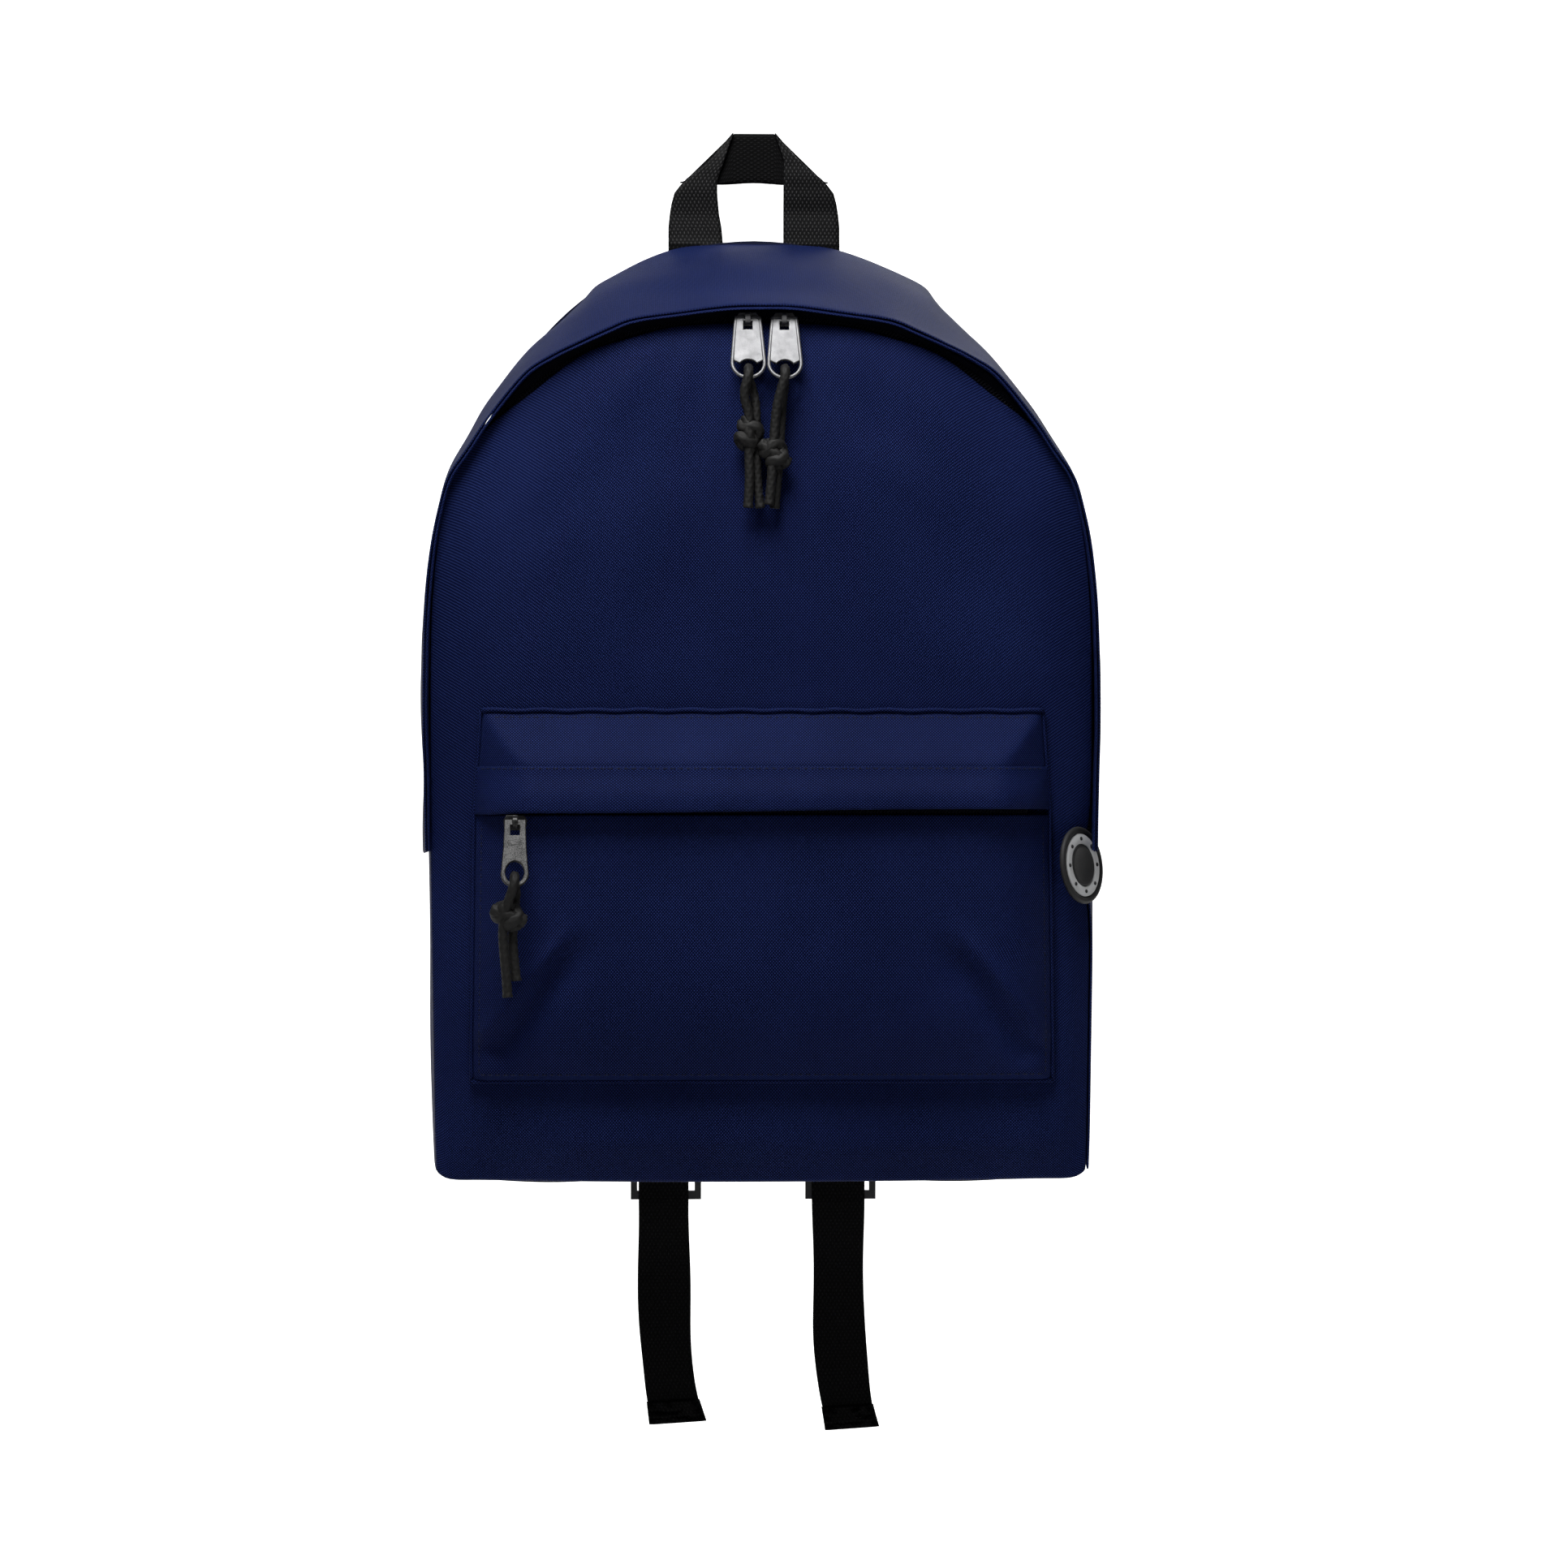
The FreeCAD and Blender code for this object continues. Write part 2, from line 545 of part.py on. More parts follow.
below_stitch = box("below_stitch", (minus(WIDE), POCKET_Y, POCKET_FOOT), (WIDE, RIM_Y, POCKET_STITCH))
pocket_lower = boolean("Common", "pocket_lower", pocket_trimmed, below_stitch)
ZIP_HALF = word("(<pocket_zip_wide> / 2)")
WINDOW_TOP = word(f"({POCKET_STITCH} - <pocket_zip_drop>)")
WINDOW_FOOT = f"({WINDOW_TOP} - {ZIP_BAND})"
WINDOW_BACK = f"({POCKET_Y} + {CLOTH})"
window = box("zip_window", (minus(ZIP_HALF), POCKET_Y, WINDOW_FOOT), (ZIP_HALF, WINDOW_BACK, WINDOW_TOP))
keep(boolean("Cut", "pocket_panel", pocket_lower, window))

# Pocket zip: the same tapes and coils, straight, in the window of the pocket's face.
strips = (
    ("pocket_zip_tape_upper", "0", COIL_OUT, "tape_thick"),
    ("pocket_zip_coil_upper", COIL_OUT, CHAIN_IN, "coil_thick"),
    ("pocket_zip_coil_lower", CHAIN_IN, COIL_IN, "coil_thick"),
    ("pocket_zip_tape_lower", COIL_IN, ZIP_BAND, "tape_thick"),
)
TAPE_BACK = word(f"({WINDOW_BACK} - <slider_gap> / 2)")
for name, start, stop, thickness in strips:
    outline = rectangle(minus(ZIP_HALF), f"({WINDOW_TOP} - {stop})", ZIP_HALF, f"({WINDOW_TOP} - {start})")
    slab(name, "XZ", TAPE_BACK, [outline], word(f"<{thickness}>"))

# Pocket slider, its pull and its cord.
POCKET_CHAIN = f"({WINDOW_TOP} - {CHAIN_IN})"
piece, eye_y, eye_z = slider("slider_pocket", POCKET_CHAIN, TAPE_BACK)
SLIDER_X = word("<pocket_slider_x>")
piece.setExpression("Placement.Base.x", SLIDER_X)
pocket_pull_wide = (word("<pocket_pull_top>"), word("<pocket_pull_low>"))
ring = pull("pull_pocket", SLIDER_X, eye_y, eye_z, *pocket_pull_wide)
cord_tube("cord_pocket", ring, CORD_ROUTES["pocket"])
knot("knot_pocket", ring, KNOT_PLACES["pocket"])

# Pocket rain flap: a return from the stitch line and a lip in front of the zip.
LIP_FRONT = word(f"({POCKET_Y} - <flap_reach>)")
HINGE_BACK = word(f"({POCKET_Y} - <fit_gap> * 3)")
LIP_FOOT = word(f"({WINDOW_TOP} - <flap_cover>)")
flap_profile = [
    (HINGE_BACK, f"({POCKET_STITCH} - {CLOTH})"),
    (HINGE_BACK, POCKET_STITCH),
    (LIP_FRONT, POCKET_STITCH),
    (LIP_FRONT, LIP_FOOT),
    (f"({LIP_FRONT} + {CLOTH})", LIP_FOOT),
    (f"({LIP_FRONT} + {CLOTH})", f"({POCKET_STITCH} - {CLOTH})"),
]
slab("pocket_flap", "YZ", minus(POCKET_HALF), [flap_profile], f"2 * {POCKET_HALF}")

# Badge: a moulded disc that wraps the front corner of the right side.
BADGE_X = word(f"({HALF} - <badge_in>)")
BADGE_Y = word(f"({RIM_Y} - <badge_out>)")
BADGE_Z = word(f"({BASE} + <badge_up>)")
badge_turn = word("rotation(vector(0; 0; 1); <badge_turn>)")
badge_parts = (
    ("badge_base", "0", word("(<badge_wide> / 2)"), None, word("<badge_thick>")),
    ("badge_ring", word("(0 - <badge_thick>)"), word("<badge_ring_outer>"), word("<badge_ring_inner>"),
     word("<badge_relief>")),
    ("badge_centre", word("(0 - <badge_thick>)"), word("(<badge_ring_inner> - <fit_gap>)"), None,
     word("<badge_relief>")),
)
for name, start, outer, inner, thick in badge_parts:
    rings = [("circle", "0", "0", outer)]
    if inner:
        rings.append(("circle", "0", "0", inner))
    disc = slab(name, "XZ", start, rings, thick)
    disc.setExpression("Placement", f"placement(vector({BADGE_X}; {BADGE_Y}; {BADGE_Z}); {badge_turn})")

# Carry handle: webbing legs, mitred to a level top, sewn down under the yoke.
HANDLE_BACK = word("(<webbing_thick> / 2)")
LEG_OUT = word("<handle_half>")
LEG_IN = word("(<handle_half> - <webbing>)")
LEG_FOOT = word(f"({BACK_TOP} + 4 * <fit_gap>)")
ELBOW = word("(<handle_top> - <handle_elbow>)")
HANDLE_TOP = word("<handle_top>")
TOP_HALF = word("<handle_top_half>")
handle_loop = [
    (minus(LEG_OUT), LEG_FOOT),
    (minus(LEG_IN), LEG_FOOT),
    (minus(LEG_IN), "0"),
    (LEG_IN, "0"),
    (LEG_IN, LEG_FOOT),
    (LEG_OUT, LEG_FOOT),
    (LEG_OUT, ELBOW),
    (TOP_HALF, HANDLE_TOP),
    (minus(TOP_HALF), HANDLE_TOP),
    (minus(LEG_OUT), ELBOW),
]
slab("handle_webbing", "XZ", HANDLE_BACK, [handle_loop], word("<webbing_thick>"))
YOKE_TOP = word(f"({BACK_TOP} - <yoke_down>)")
YOKE_FOOT = word(f"({YOKE_TOP} - <yoke_tall>)")
ends_body = new_body("handle_end_form")
end_gap = word("<fit_gap>")
end_top = f"({BACK_TOP} - 2 * {end_gap})"
end_loop = rectangle(minus(LEG_OUT), f"({YOKE_FOOT} + {end_gap})", LEG_OUT, end_top)
pad(ends_body, "XZ", HANDLE_BACK, [end_loop], word("<webbing_thick>"))
end_space = box("end_space", (minus(LEG_IN), BACK_Y, YOKE_FOOT), (LEG_IN, HANDLE_BACK, BACK_TOP))
keep(boolean("Cut", "handle_ends", ends_body, end_space))
YOKE_HALF = word("(<yoke_wide> / 2)")
YOKE_SHOULDER = word("(<yoke_top_wide> / 2)")
yoke_loop = [
    (minus(YOKE_HALF), YOKE_FOOT),
    (YOKE_HALF, YOKE_FOOT),
    (YOKE_SHOULDER, YOKE_TOP),
    (minus(YOKE_SHOULDER), YOKE_TOP),
]
slab("yoke_patch", "XZ", word(f"({HANDLE_BACK} + <cloth>)"), [yoke_loop], CLOTH)

# Shoulder straps, with ladder locks, adjusting webbing and the tabs at the bag's corners.
STRAP_TOP = word(f"({YOKE_FOOT} - <fit_gap> * 2)")
STRAP_FOOT = word(f"({BASE} + <strap_low_up>)")
SPAN = f"({STRAP_TOP} - {STRAP_FOOT})"
STRAP_THICK = word("<strap_thick>")
UP_IN = word("<strap_top_gap>")
LOW_IN = word("<strap_low_gap>")
CHORD_SQUARE = f"(({SPAN}) * ({SPAN}) + ({LOW_IN} - {UP_IN}) * ({LOW_IN} - {UP_IN}))"
BOW = word("<strap_bow>")
INNER_RADIUS = f"(({CHORD_SQUARE} / 4 + {BOW} * {BOW}) / (2 * {BOW}))"
strap_profile = [
    (UP_IN, STRAP_TOP),
    (LOW_IN, STRAP_FOOT, INNER_RADIUS, -1),
    (f"({LOW_IN} + {STRAP_THICK})", STRAP_FOOT),
    (f"({UP_IN} + {STRAP_THICK})", STRAP_TOP, INNER_RADIUS, 1),
]
LOCK_FOOT = word(f"({BASE} - <lock_drop>)")
LOCK_TOP = word(f"({LOCK_FOOT} + <lock_tall>)")
LOCK_MID = word("(<strap_low_gap> + <strap_thick> / 2)")
LOCK_BACK = word(f"({LOCK_MID} + <lock_thick> / 2)")
LOCK_HALF = word("(<lock_wide> / 2)")
BAND_HALF = word("(<webbing> / 2)")
BAND_BACK = word(f"({LOCK_MID} + <webbing_thick> / 2)")
BAND_THICK = word("<webbing_thick>")
for side, sign in (("left", -1), ("right", 1)):
    middle = word(f"({sign} * <strap_apart> / 2)")
    strap_edge = word(f"({middle} - <strap_wide> / 2)")
    slab(f"strap_pad_{side}", "YZ", strap_edge, [strap_profile], word("<strap_wide>"))
    bar = word("<lock_bar>")
    slot = word("((<lock_tall> - 3 * <lock_bar>) / 2)")
    frame_loop = rectangle(f"({middle} - {LOCK_HALF})", LOCK_FOOT, f"({middle} + {LOCK_HALF})", LOCK_TOP)
    slots = []
    for level in (f"({LOCK_FOOT} + {bar})", f"({LOCK_FOOT} + 2 * {bar} + {slot})"):
        slots.append(rectangle(f"({middle} - {LOCK_HALF} + {bar} * 0.75)", level,
                               f"({middle} + {LOCK_HALF} - {bar} * 0.75)", f"({level} + {slot})"))
    slab(f"ladder_lock_{side}", "XZ", LOCK_BACK, [frame_loop] + slots, word("<lock_thick>"))
    low_x = f"({middle} - {BAND_HALF})"
    high_x = f"({middle} + {BAND_HALF})"
    holder_foot = word(f"({LOCK_TOP} + <fit_gap>)")
    holder = rectangle(low_x, holder_foot, high_x, word(f"({STRAP_FOOT} - <fit_gap>)"))
    slab(f"lock_holder_{side}", "XZ", BAND_BACK, [holder], BAND_THICK)
    tail_top = word(f"({LOCK_FOOT} - <fit_gap>)")
    tail_foot = word(f"({tail_top} - <tail_long>)")
    tail = new_body(f"strap_tail_{side}")
    pad(tail, "XZ", BAND_BACK, [rectangle(low_x, tail_foot, high_x, tail_top)], BAND_THICK)
    hem_top = word(f"({tail_foot} + <hem_tall>)")
    hem = rectangle(low_x, tail_foot, high_x, hem_top)
    pad(tail, "XZ", f"({BAND_BACK} + {BAND_THICK})", [hem], f"2 * {BAND_THICK}")
    keep(tail)
    edge = word(f"({sign} * ({HALF} - <corner_tab_in>))")
    tab = word("<corner_tab>")
    foot = word(f"({BASE} + <corner_tab_up>)")
    tab_loop = [(edge, foot), (edge, f"({foot} + {tab})"), (f"({edge} - {sign} * {tab})", foot)]
    slab(f"corner_tab_{side}", "XZ", f"({BACK_Y} + {CLOTH})", [tab_loop], CLOTH)
    tab_x = word(f"({edge} - {sign} * <corner_tab> / 2)")
    lock_x = word(f"({middle} + {sign} * ({LOCK_HALF} + <fit_gap>))")
    near = word(f"({BACK_Y} + <cloth> + <fit_gap>)")
    band_loop = [(tab_x, f"({near} + {BAND_THICK})"), (lock_x, BAND_BACK),
                 (lock_x, f"({BAND_BACK} - {BAND_THICK})"), (tab_x, near)]
    band_foot = word(f"({STRAP_FOOT} - <fit_gap> - <webbing>)")
    slab(f"lower_webbing_{side}", "XY", band_foot, [band_loop], word("<webbing>"))

doc.recompute()

faults = [item.Name for item in doc.Objects if "Invalid" in item.State or "Error" in item.State]
for piece in subparts:
    if piece.Shape.isNull() or not piece.Shape.isValid() or piece.Shape.Volume <= 0:
        faults.append(piece.Label)
if faults:
    raise SystemExit(f"these failed: {sorted(set(faults))}")
if hollow.Shape.Volume > 0.5 * pocket_solid.Shape.Volume:
    raise SystemExit("the pocket's hollow was not cut")

os.makedirs("parts", exist_ok=True)
for piece in subparts:
    piece.Shape.exportStep(f"parts/{piece.Label}.step")
print(f"{len(subparts)} sub-parts")
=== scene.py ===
# %% [markdown]
# A school backpack hangs from its carry handle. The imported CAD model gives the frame: every
# piece made here takes its place from a CAD node, rides on a body, and shows the cloth,
# webbing, metal and rubber that the plain solids only stand for.

# %% Load the frame
import json
import math

import bmesh
import bpy
from mathutils import Matrix, Vector, noise


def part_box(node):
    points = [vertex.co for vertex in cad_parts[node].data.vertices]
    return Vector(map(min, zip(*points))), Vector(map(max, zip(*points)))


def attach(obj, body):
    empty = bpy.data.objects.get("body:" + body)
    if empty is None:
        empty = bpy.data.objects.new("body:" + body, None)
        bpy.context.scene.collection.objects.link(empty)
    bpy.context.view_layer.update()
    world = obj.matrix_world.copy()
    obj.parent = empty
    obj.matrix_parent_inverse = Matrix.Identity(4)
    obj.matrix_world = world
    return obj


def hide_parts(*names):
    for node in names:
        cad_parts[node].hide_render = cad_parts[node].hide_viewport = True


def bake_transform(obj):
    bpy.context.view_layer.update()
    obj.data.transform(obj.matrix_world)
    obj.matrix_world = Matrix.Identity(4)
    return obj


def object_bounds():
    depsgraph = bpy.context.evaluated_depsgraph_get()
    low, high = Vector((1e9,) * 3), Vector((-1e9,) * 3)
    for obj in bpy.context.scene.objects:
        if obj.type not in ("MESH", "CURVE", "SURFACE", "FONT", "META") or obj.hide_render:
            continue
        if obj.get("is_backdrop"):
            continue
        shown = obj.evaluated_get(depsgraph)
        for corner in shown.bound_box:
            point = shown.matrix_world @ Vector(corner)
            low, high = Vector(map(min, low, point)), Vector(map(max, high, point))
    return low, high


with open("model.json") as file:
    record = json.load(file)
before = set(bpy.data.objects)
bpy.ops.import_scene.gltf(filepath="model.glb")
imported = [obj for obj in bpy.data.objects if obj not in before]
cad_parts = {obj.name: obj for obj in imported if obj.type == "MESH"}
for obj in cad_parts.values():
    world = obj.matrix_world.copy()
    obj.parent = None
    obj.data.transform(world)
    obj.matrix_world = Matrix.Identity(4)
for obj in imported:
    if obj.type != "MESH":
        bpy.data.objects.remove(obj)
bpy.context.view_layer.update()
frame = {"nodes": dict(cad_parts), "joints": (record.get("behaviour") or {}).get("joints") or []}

# %% [markdown]
# Shader maths reads best as plain expressions. A Field wraps one socket of a node, and the
# operators on it add Math nodes. A Finish is a material, and its add method makes every
# other node: the type, the settings, then the values or links of its sockets.

# %% Materials as expressions


class Field:
    """An output socket; arithmetic on it adds Math nodes to its material."""

    def __init__(self, finish, socket):
        self.finish = finish
        self.socket = socket

    def math(self, operation, *values):
        return self.finish.add("ShaderNodeMath", {"operation": operation}, dict(enumerate(values)))

    def __add__(self, other):
        return self.math("ADD", self, other)

    def __sub__(self, other):
        return self.math("SUBTRACT", self, other)

    def __rsub__(self, other):
        return self.math("SUBTRACT", other, self)

    def __mul__(self, other):
        return self.math("MULTIPLY", self, other)

    def __truediv__(self, other):
        return self.math("DIVIDE", self, other)

    def __mod__(self, other):
        return self.math("FLOORED_MODULO", self, other)

    __radd__ = __add__
    __rmul__ = __mul__

    def sin(self):
        return self.math("SINE", self)

    def floor(self):
        return self.math("FLOOR", self)

    def clip(self):
        return self.math("MAXIMUM", self.math("MINIMUM", self, 1.0), 0.0)


class Finish:
    """One material with a Principled shader."""

    def __init__(self, name, **fixed):
        self.material = bpy.data.materials.new(name)
        self.material.use_nodes = True
        self.tree = self.material.node_tree
        self.shader = self.tree.nodes["Principled BSDF"]
        for socket, value in fixed.items():
            self.shader.inputs[socket.replace("_", " ")].default_value = value

    def add(self, kind, settings=None, values=None, out=0):
        node = self.tree.nodes.new(kind)
        for name, value in (settings or {}).items():
            setattr(node, name, value)
        for name, value in (values or {}).items():
            if isinstance(value, Field):
                self.tree.links.new(value.socket, node.inputs[name])
            else:
                node.inputs[name].default_value = value
        return Field(self, node.outputs[out])

    def feed(self, **links):
        for socket, field in links.items():
            self.tree.links.new(field.socket, self.shader.inputs[socket.replace("_", " ")])

    def split(self, vector):
        node = self.add("ShaderNodeSeparateXYZ", None, {0: vector})
        return [Field(self, output) for output in node.socket.node.outputs]

    def noise(self, scale, detail=2.0, place=None):
        values = {"Scale": scale, "Detail": detail}
        if place:
            values["Vector"] = place
        return self.add("ShaderNodeTexNoise", None, values)

    def blend(self, share, first, second):
        return self.add("ShaderNodeMix", {"data_type": "RGBA"}, {0: share, 6: first, 7: second}, 2)

    def bump(self, height, distance, strength=1.0):
        return self.add("ShaderNodeBump", None,
                        {"Height": height, "Distance": distance, "Strength": strength})

    def cloth(self):
        """Position on the cloth in metres, from the map that each sewn piece carries."""
        return self.add("ShaderNodeUVMap", {"uv_map": "cloth"})

    def here(self):
        """Position in the piece's own space, in metres."""
        return self.add("ShaderNodeTexCoord", None, None, 3)


# %% [markdown]
# Woven polyester is rows of short raised floats, each row half a float aside from the last.
# A sine along the row and another across it give one float, a coarse noise makes the shade
# drift from place to place, and the same pattern drives the bump, so light catches it.

# %% Cloth and webbing


def woven(name, dark, light, float_long, row_tall, lift, rough=0.62, mapped=True, contrast=1.0,
          specular=0.12):
    finish = Finish(name, Roughness=rough, Specular_IOR_Level=specular)
    across, along, _ = finish.split(finish.cloth() if mapped else finish.here())
    if not mapped:
        across, sideways, along = finish.split(finish.here())
        across = across + sideways
    rows = along / row_tall
    aside = (rows.floor() % 2.0) * 0.5
    warp = (((across / float_long) + aside) * (2 * math.pi)).sin().clip()
    weft = ((rows % 1.0) * math.pi).sin()
    thread = warp * weft
    drift = finish.noise(14.0, 3.0, finish.here())
    fuzz = finish.noise(900.0, 2.0, finish.here())
    share = (thread * contrast + drift * 0.3 + fuzz * 0.15 - 0.225).clip()
    finish.feed(Base_Color=finish.blend(share, dark, light))
    finish.feed(Roughness=(0.12 * fuzz + (rough - 0.06)))
    finish.feed(Normal=finish.bump(thread * 0.8 + fuzz * 0.25, lift))
    return finish.material


def rgb(red, green, blue):
    return (red, green, blue, 1.0)


NAVY = woven("navy polyester", rgb(0.0012, 0.0028, 0.018), rgb(0.021, 0.037, 0.16), 0.00130, 0.00075,
             0.00016, specular=0.03)
NAVY_INSIDE = woven("navy lining", rgb(0.0020, 0.0035, 0.016), rgb(0.005, 0.008, 0.03), 0.0011, 0.0006,
                    0.0001, mapped=False)
BLACK_WEB = woven("black webbing", rgb(0.0018, 0.0018, 0.002), rgb(0.024, 0.024, 0.025), 0.0019, 0.0016,
                  0.0003, rough=0.55, contrast=1.0, specular=0.12)
# Black strap webbing for the tails; the same finish is also painted shade on the carry handle's top
# band.
STRAP_WEB_AND_BAND_SHADE = woven("black strap webbing and painted band shade", rgb(0.0012, 0.0012, 0.0013), rgb(0.0065, 0.0065, 0.007), 0.0019,
                 0.0016, 0.00025, rough=0.7, contrast=0.9, specular=0.05)
WEB_ENDS = woven("webbing sewn ends", rgb(0.0012, 0.0012, 0.0013), rgb(0.0075, 0.0075, 0.008), 0.0019,
                 0.0016, 0.00025, rough=0.7, mapped=False, contrast=0.9, specular=0.05)
ZIP_TAPE = woven("zip tape", rgb(0.0010, 0.0012, 0.004), rgb(0.003, 0.004, 0.011), 0.0008, 0.0005,
                 0.0001, specular=0.05)


# %% [markdown]
# The metal is die-cast and plated: nearly mirror smooth, with fine scratches that run every
# way and a slight haze. The black parts are moulded, so they only need a soft grain.

# %% Metal, plastic, rubber and cord


def plated(name, colour, rough, speckle=0.0):
    finish = Finish(name, Metallic=1.0)
    marks = finish.noise(2600.0, 4.0, finish.here())
    haze = finish.noise(260.0, 3.0, finish.here())
    share = (haze * 1.4 - 0.2 + (marks - 0.5) * (5.0 * speckle)).clip()
    finish.feed(Base_Color=finish.blend(share, colour,
                                        rgb(*(c * (0.72 - 0.4 * speckle) for c in colour[:3]))))
    finish.feed(Roughness=(marks * 0.22 + haze * 0.14 + rough).clip())
    finish.feed(Normal=finish.bump(marks * 0.5 + haze, 0.00006))
    return finish.material


def moulded(name, colour, rough, grain=1500.0, lift=0.00004, specular=0.4):
    finish = Finish(name, Specular_IOR_Level=specular)
    skin = finish.noise(grain, 3.0, finish.here())
    patch = finish.noise(45.0, 2.0, finish.here())
    finish.feed(Base_Color=finish.blend((patch * 0.6 + skin * 0.3).clip(),
                                        rgb(*(c * 0.75 for c in colour[:3])), colour))
    finish.feed(Roughness=(skin * 0.15 + patch * 0.1 + rough).clip())
    finish.feed(Normal=finish.bump(skin, lift))
    return finish.material


NICKEL = plated("satin nickel", rgb(0.22, 0.22, 0.225), 0.42)
# Darker metal for the pocket's pull and slider: partly a gunmetal finish, partly painted shade for
# where they hang in shadow below the flap.
DARK_METAL_AND_SHADE = plated("gunmetal and painted shade", rgb(0.07, 0.07, 0.07), 0.34, speckle=1.0)
BLACK_PLASTIC = moulded("black acetal", rgb(0.012, 0.012, 0.013), 0.32)
BLACK_RUBBER = moulded("black moulded rubber", rgb(0.010, 0.010, 0.011), 0.55)
PALE_RUBBER = moulded("pale moulded rubber", rgb(0.62, 0.63, 0.64), 0.5, lift=0.00003)
FOAM = moulded("foam board", rgb(0.3, 0.3, 0.31), 0.9, grain=700.0, lift=0.0002, specular=0.1)
CORD_BLACK = moulded("braided black cord", rgb(0.0045, 0.0043, 0.004), 0.55, grain=2400.0, lift=0.00008,
                     specular=0.3)
COIL_NYLON = moulded("nylon coil", rgb(0.0025, 0.003, 0.007), 0.5, specular=0.15)
THREAD = moulded("navy thread", rgb(0.006, 0.009, 0.032), 0.6, specular=0.15)

# %% [markdown]
# Sewn pieces start as a grid of points: rows of one length, joined into quads. The grid also
# carries a map in metres, measured along the cloth, so the weave has its real size on every
# panel however the panel curves.

# %% Grids, outlines and small helpers


def clamp(value, low=0.0, high=1.0):
    return max(low, min(high, value))


def ease(value):
    value = clamp(value)
    return value * value * (3 - 2 * value)


def rise(distance, reach, power=2.5):
    """From 0 at an edge to 1 at reach inside it, steep at first."""
    return 1 - (1 - clamp(distance / reach)) ** power


def mix(first, second, share):
    return first + (second - first) * share


def swell(height, x, y, z):
    """Smooth uneven height, the same for the same place."""
    return height * noise.noise(Vector((x, y, z)))


def circle_angles(count):
    """Even angles round a full circle."""
    return [2 * math.pi * index / count for index in range(count)]


def hill(distance, width):
    return math.exp(-((distance / width) ** 2))


def through(points, count):
    """Even points along a smooth curve through the given ones."""
    points = [Vector(p) for p in points]
    padded = [points[0] * 2 - points[1], *points, points[-1] * 2 - points[-2]]
    fine = []
    for index in range(1, len(padded) - 2):
        a, b, c, d = padded[index - 1:index + 3]
        for step in range(16):
            t = step / 16
            fine.append(0.5 * ((2 * b) + (c - a) * t + (2 * a - 5 * b + 4 * c - d) * t * t
                               + (3 * b - a - 3 * c + d) * t ** 3))
    fine.append(points[-1])
    return evenly(fine, count)


def evenly(fine, count):
    lengths = [0.0]
    for before, after in zip(fine, fine[1:]):
        lengths.append(lengths[-1] + (after - before).length)
    result = []
    spot = 0
    for index in range(count):
        goal = lengths[-1] * index / (count - 1)
        while spot < len(fine) - 2 and lengths[spot + 1] < goal:
            spot += 1
        gap = lengths[spot + 1] - lengths[spot]
        share = (goal - lengths[spot]) / gap if gap > 0 else 0.0
        result.append(fine[spot].lerp(fine[spot + 1], clamp(share)))
    return result


def dress(piece, material, body, slot, *nodes):
    piece.data.materials.clear()
    piece.data.materials.append(material)
    if body:
        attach(piece, body)
    if nodes:
        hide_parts(*nodes)
    return piece


def mesh_piece(name, points, faces, smooth=True):
    mesh = bpy.data.meshes.new(name)
    mesh.from_pydata([tuple(p) for p in points], [], faces)
    mesh.update()
    if smooth:
        mesh.shade_smooth()
    piece = bpy.data.objects.new(name, mesh)
    bpy.context.scene.collection.objects.link(piece)
    return piece


def grid_piece(name, rows, closed=False):
    """Quads between rows of points, with a map in metres named cloth."""
    wide = len(rows[0])
    points = [p for row in rows for p in row]
    faces = []
    steps = wide if closed else wide - 1
    for j in range(len(rows) - 1):
        for i in range(steps):
            after = (i + 1) % wide
            faces.append((j * wide + i, j * wide + after, (j + 1) * wide + after, (j + 1) * wide + i))
    piece = mesh_piece(name, points, faces)
    along = [0.0]
    middle = wide // 2
    for before, after in zip(rows, rows[1:]):
        along.append(along[-1] + (after[middle] - before[middle]).length)
    across = []
    for row in rows:
        line = [0.0]
        ring = list(row) + ([row[0]] if closed else [])
        for before, after in zip(ring, ring[1:]):
            line.append(line[-1] + (after - before).length)
        across.append([value - line[-1] / 2 for value in line])
    layer = piece.data.uv_layers.new(name="cloth")
    for face, polygon in enumerate(piece.data.polygons):
        j, i = divmod(face, steps)
        spots = ((j, i), (j, i + 1), (j + 1, i + 1), (j + 1, i))
        for loop, (row, column) in zip(polygon.loop_indices, spots):
            layer.data[loop].uv = (across[row][column], along[row])
    return piece


def soften(piece):
    soft = piece.modifiers.new("soft surface", "SUBSURF")
    soft.levels = soft.render_levels = 1


def thicken(piece, thick, smooth=True):
    solid = piece.modifiers.new("cloth thickness", "SOLIDIFY")
    solid.thickness = thick
    solid.offset = -1.0
    if smooth:
        soften(piece)
    return piece


# %% [markdown]
# The camera comes first, level with the middle of the bag and two metres off, a touch to the
# left, because perspective decides how much of the hood and of the strap tails shows.

# %% Camera, light and floor
SIGHT_Z = -0.28
SIGHT_X = 0.0099
RIM_PLANE = -0.119
DISTANCE = 2.2
TURN = math.radians(2.0)
FIELD = 0.6955
camera_data = bpy.data.cameras.new("camera")
camera_data.sensor_width = 36.0
camera_data.lens = 36.0 * DISTANCE / FIELD
camera = bpy.data.objects.new("camera", camera_data)
camera.location = (SIGHT_X - DISTANCE * math.sin(TURN), RIM_PLANE - DISTANCE * math.cos(TURN), SIGHT_Z)
camera.rotation_euler = (math.radians(90), 0, -TURN)
bpy.context.scene.collection.objects.link(camera)
bpy.context.scene.camera = camera
bpy.context.scene.view_settings.view_transform = "Standard"


def area_light(name, place, aim, power, size):
    data = bpy.data.lights.new(name, "AREA")
    data.energy = power
    data.shape = "DISK"
    data.size = size
    light = bpy.data.objects.new(name, data)
    light.location = place
    light.rotation_euler = (Vector(aim) - Vector(place)).to_track_quat("-Z", "Y").to_euler()
    bpy.context.scene.collection.objects.link(light)


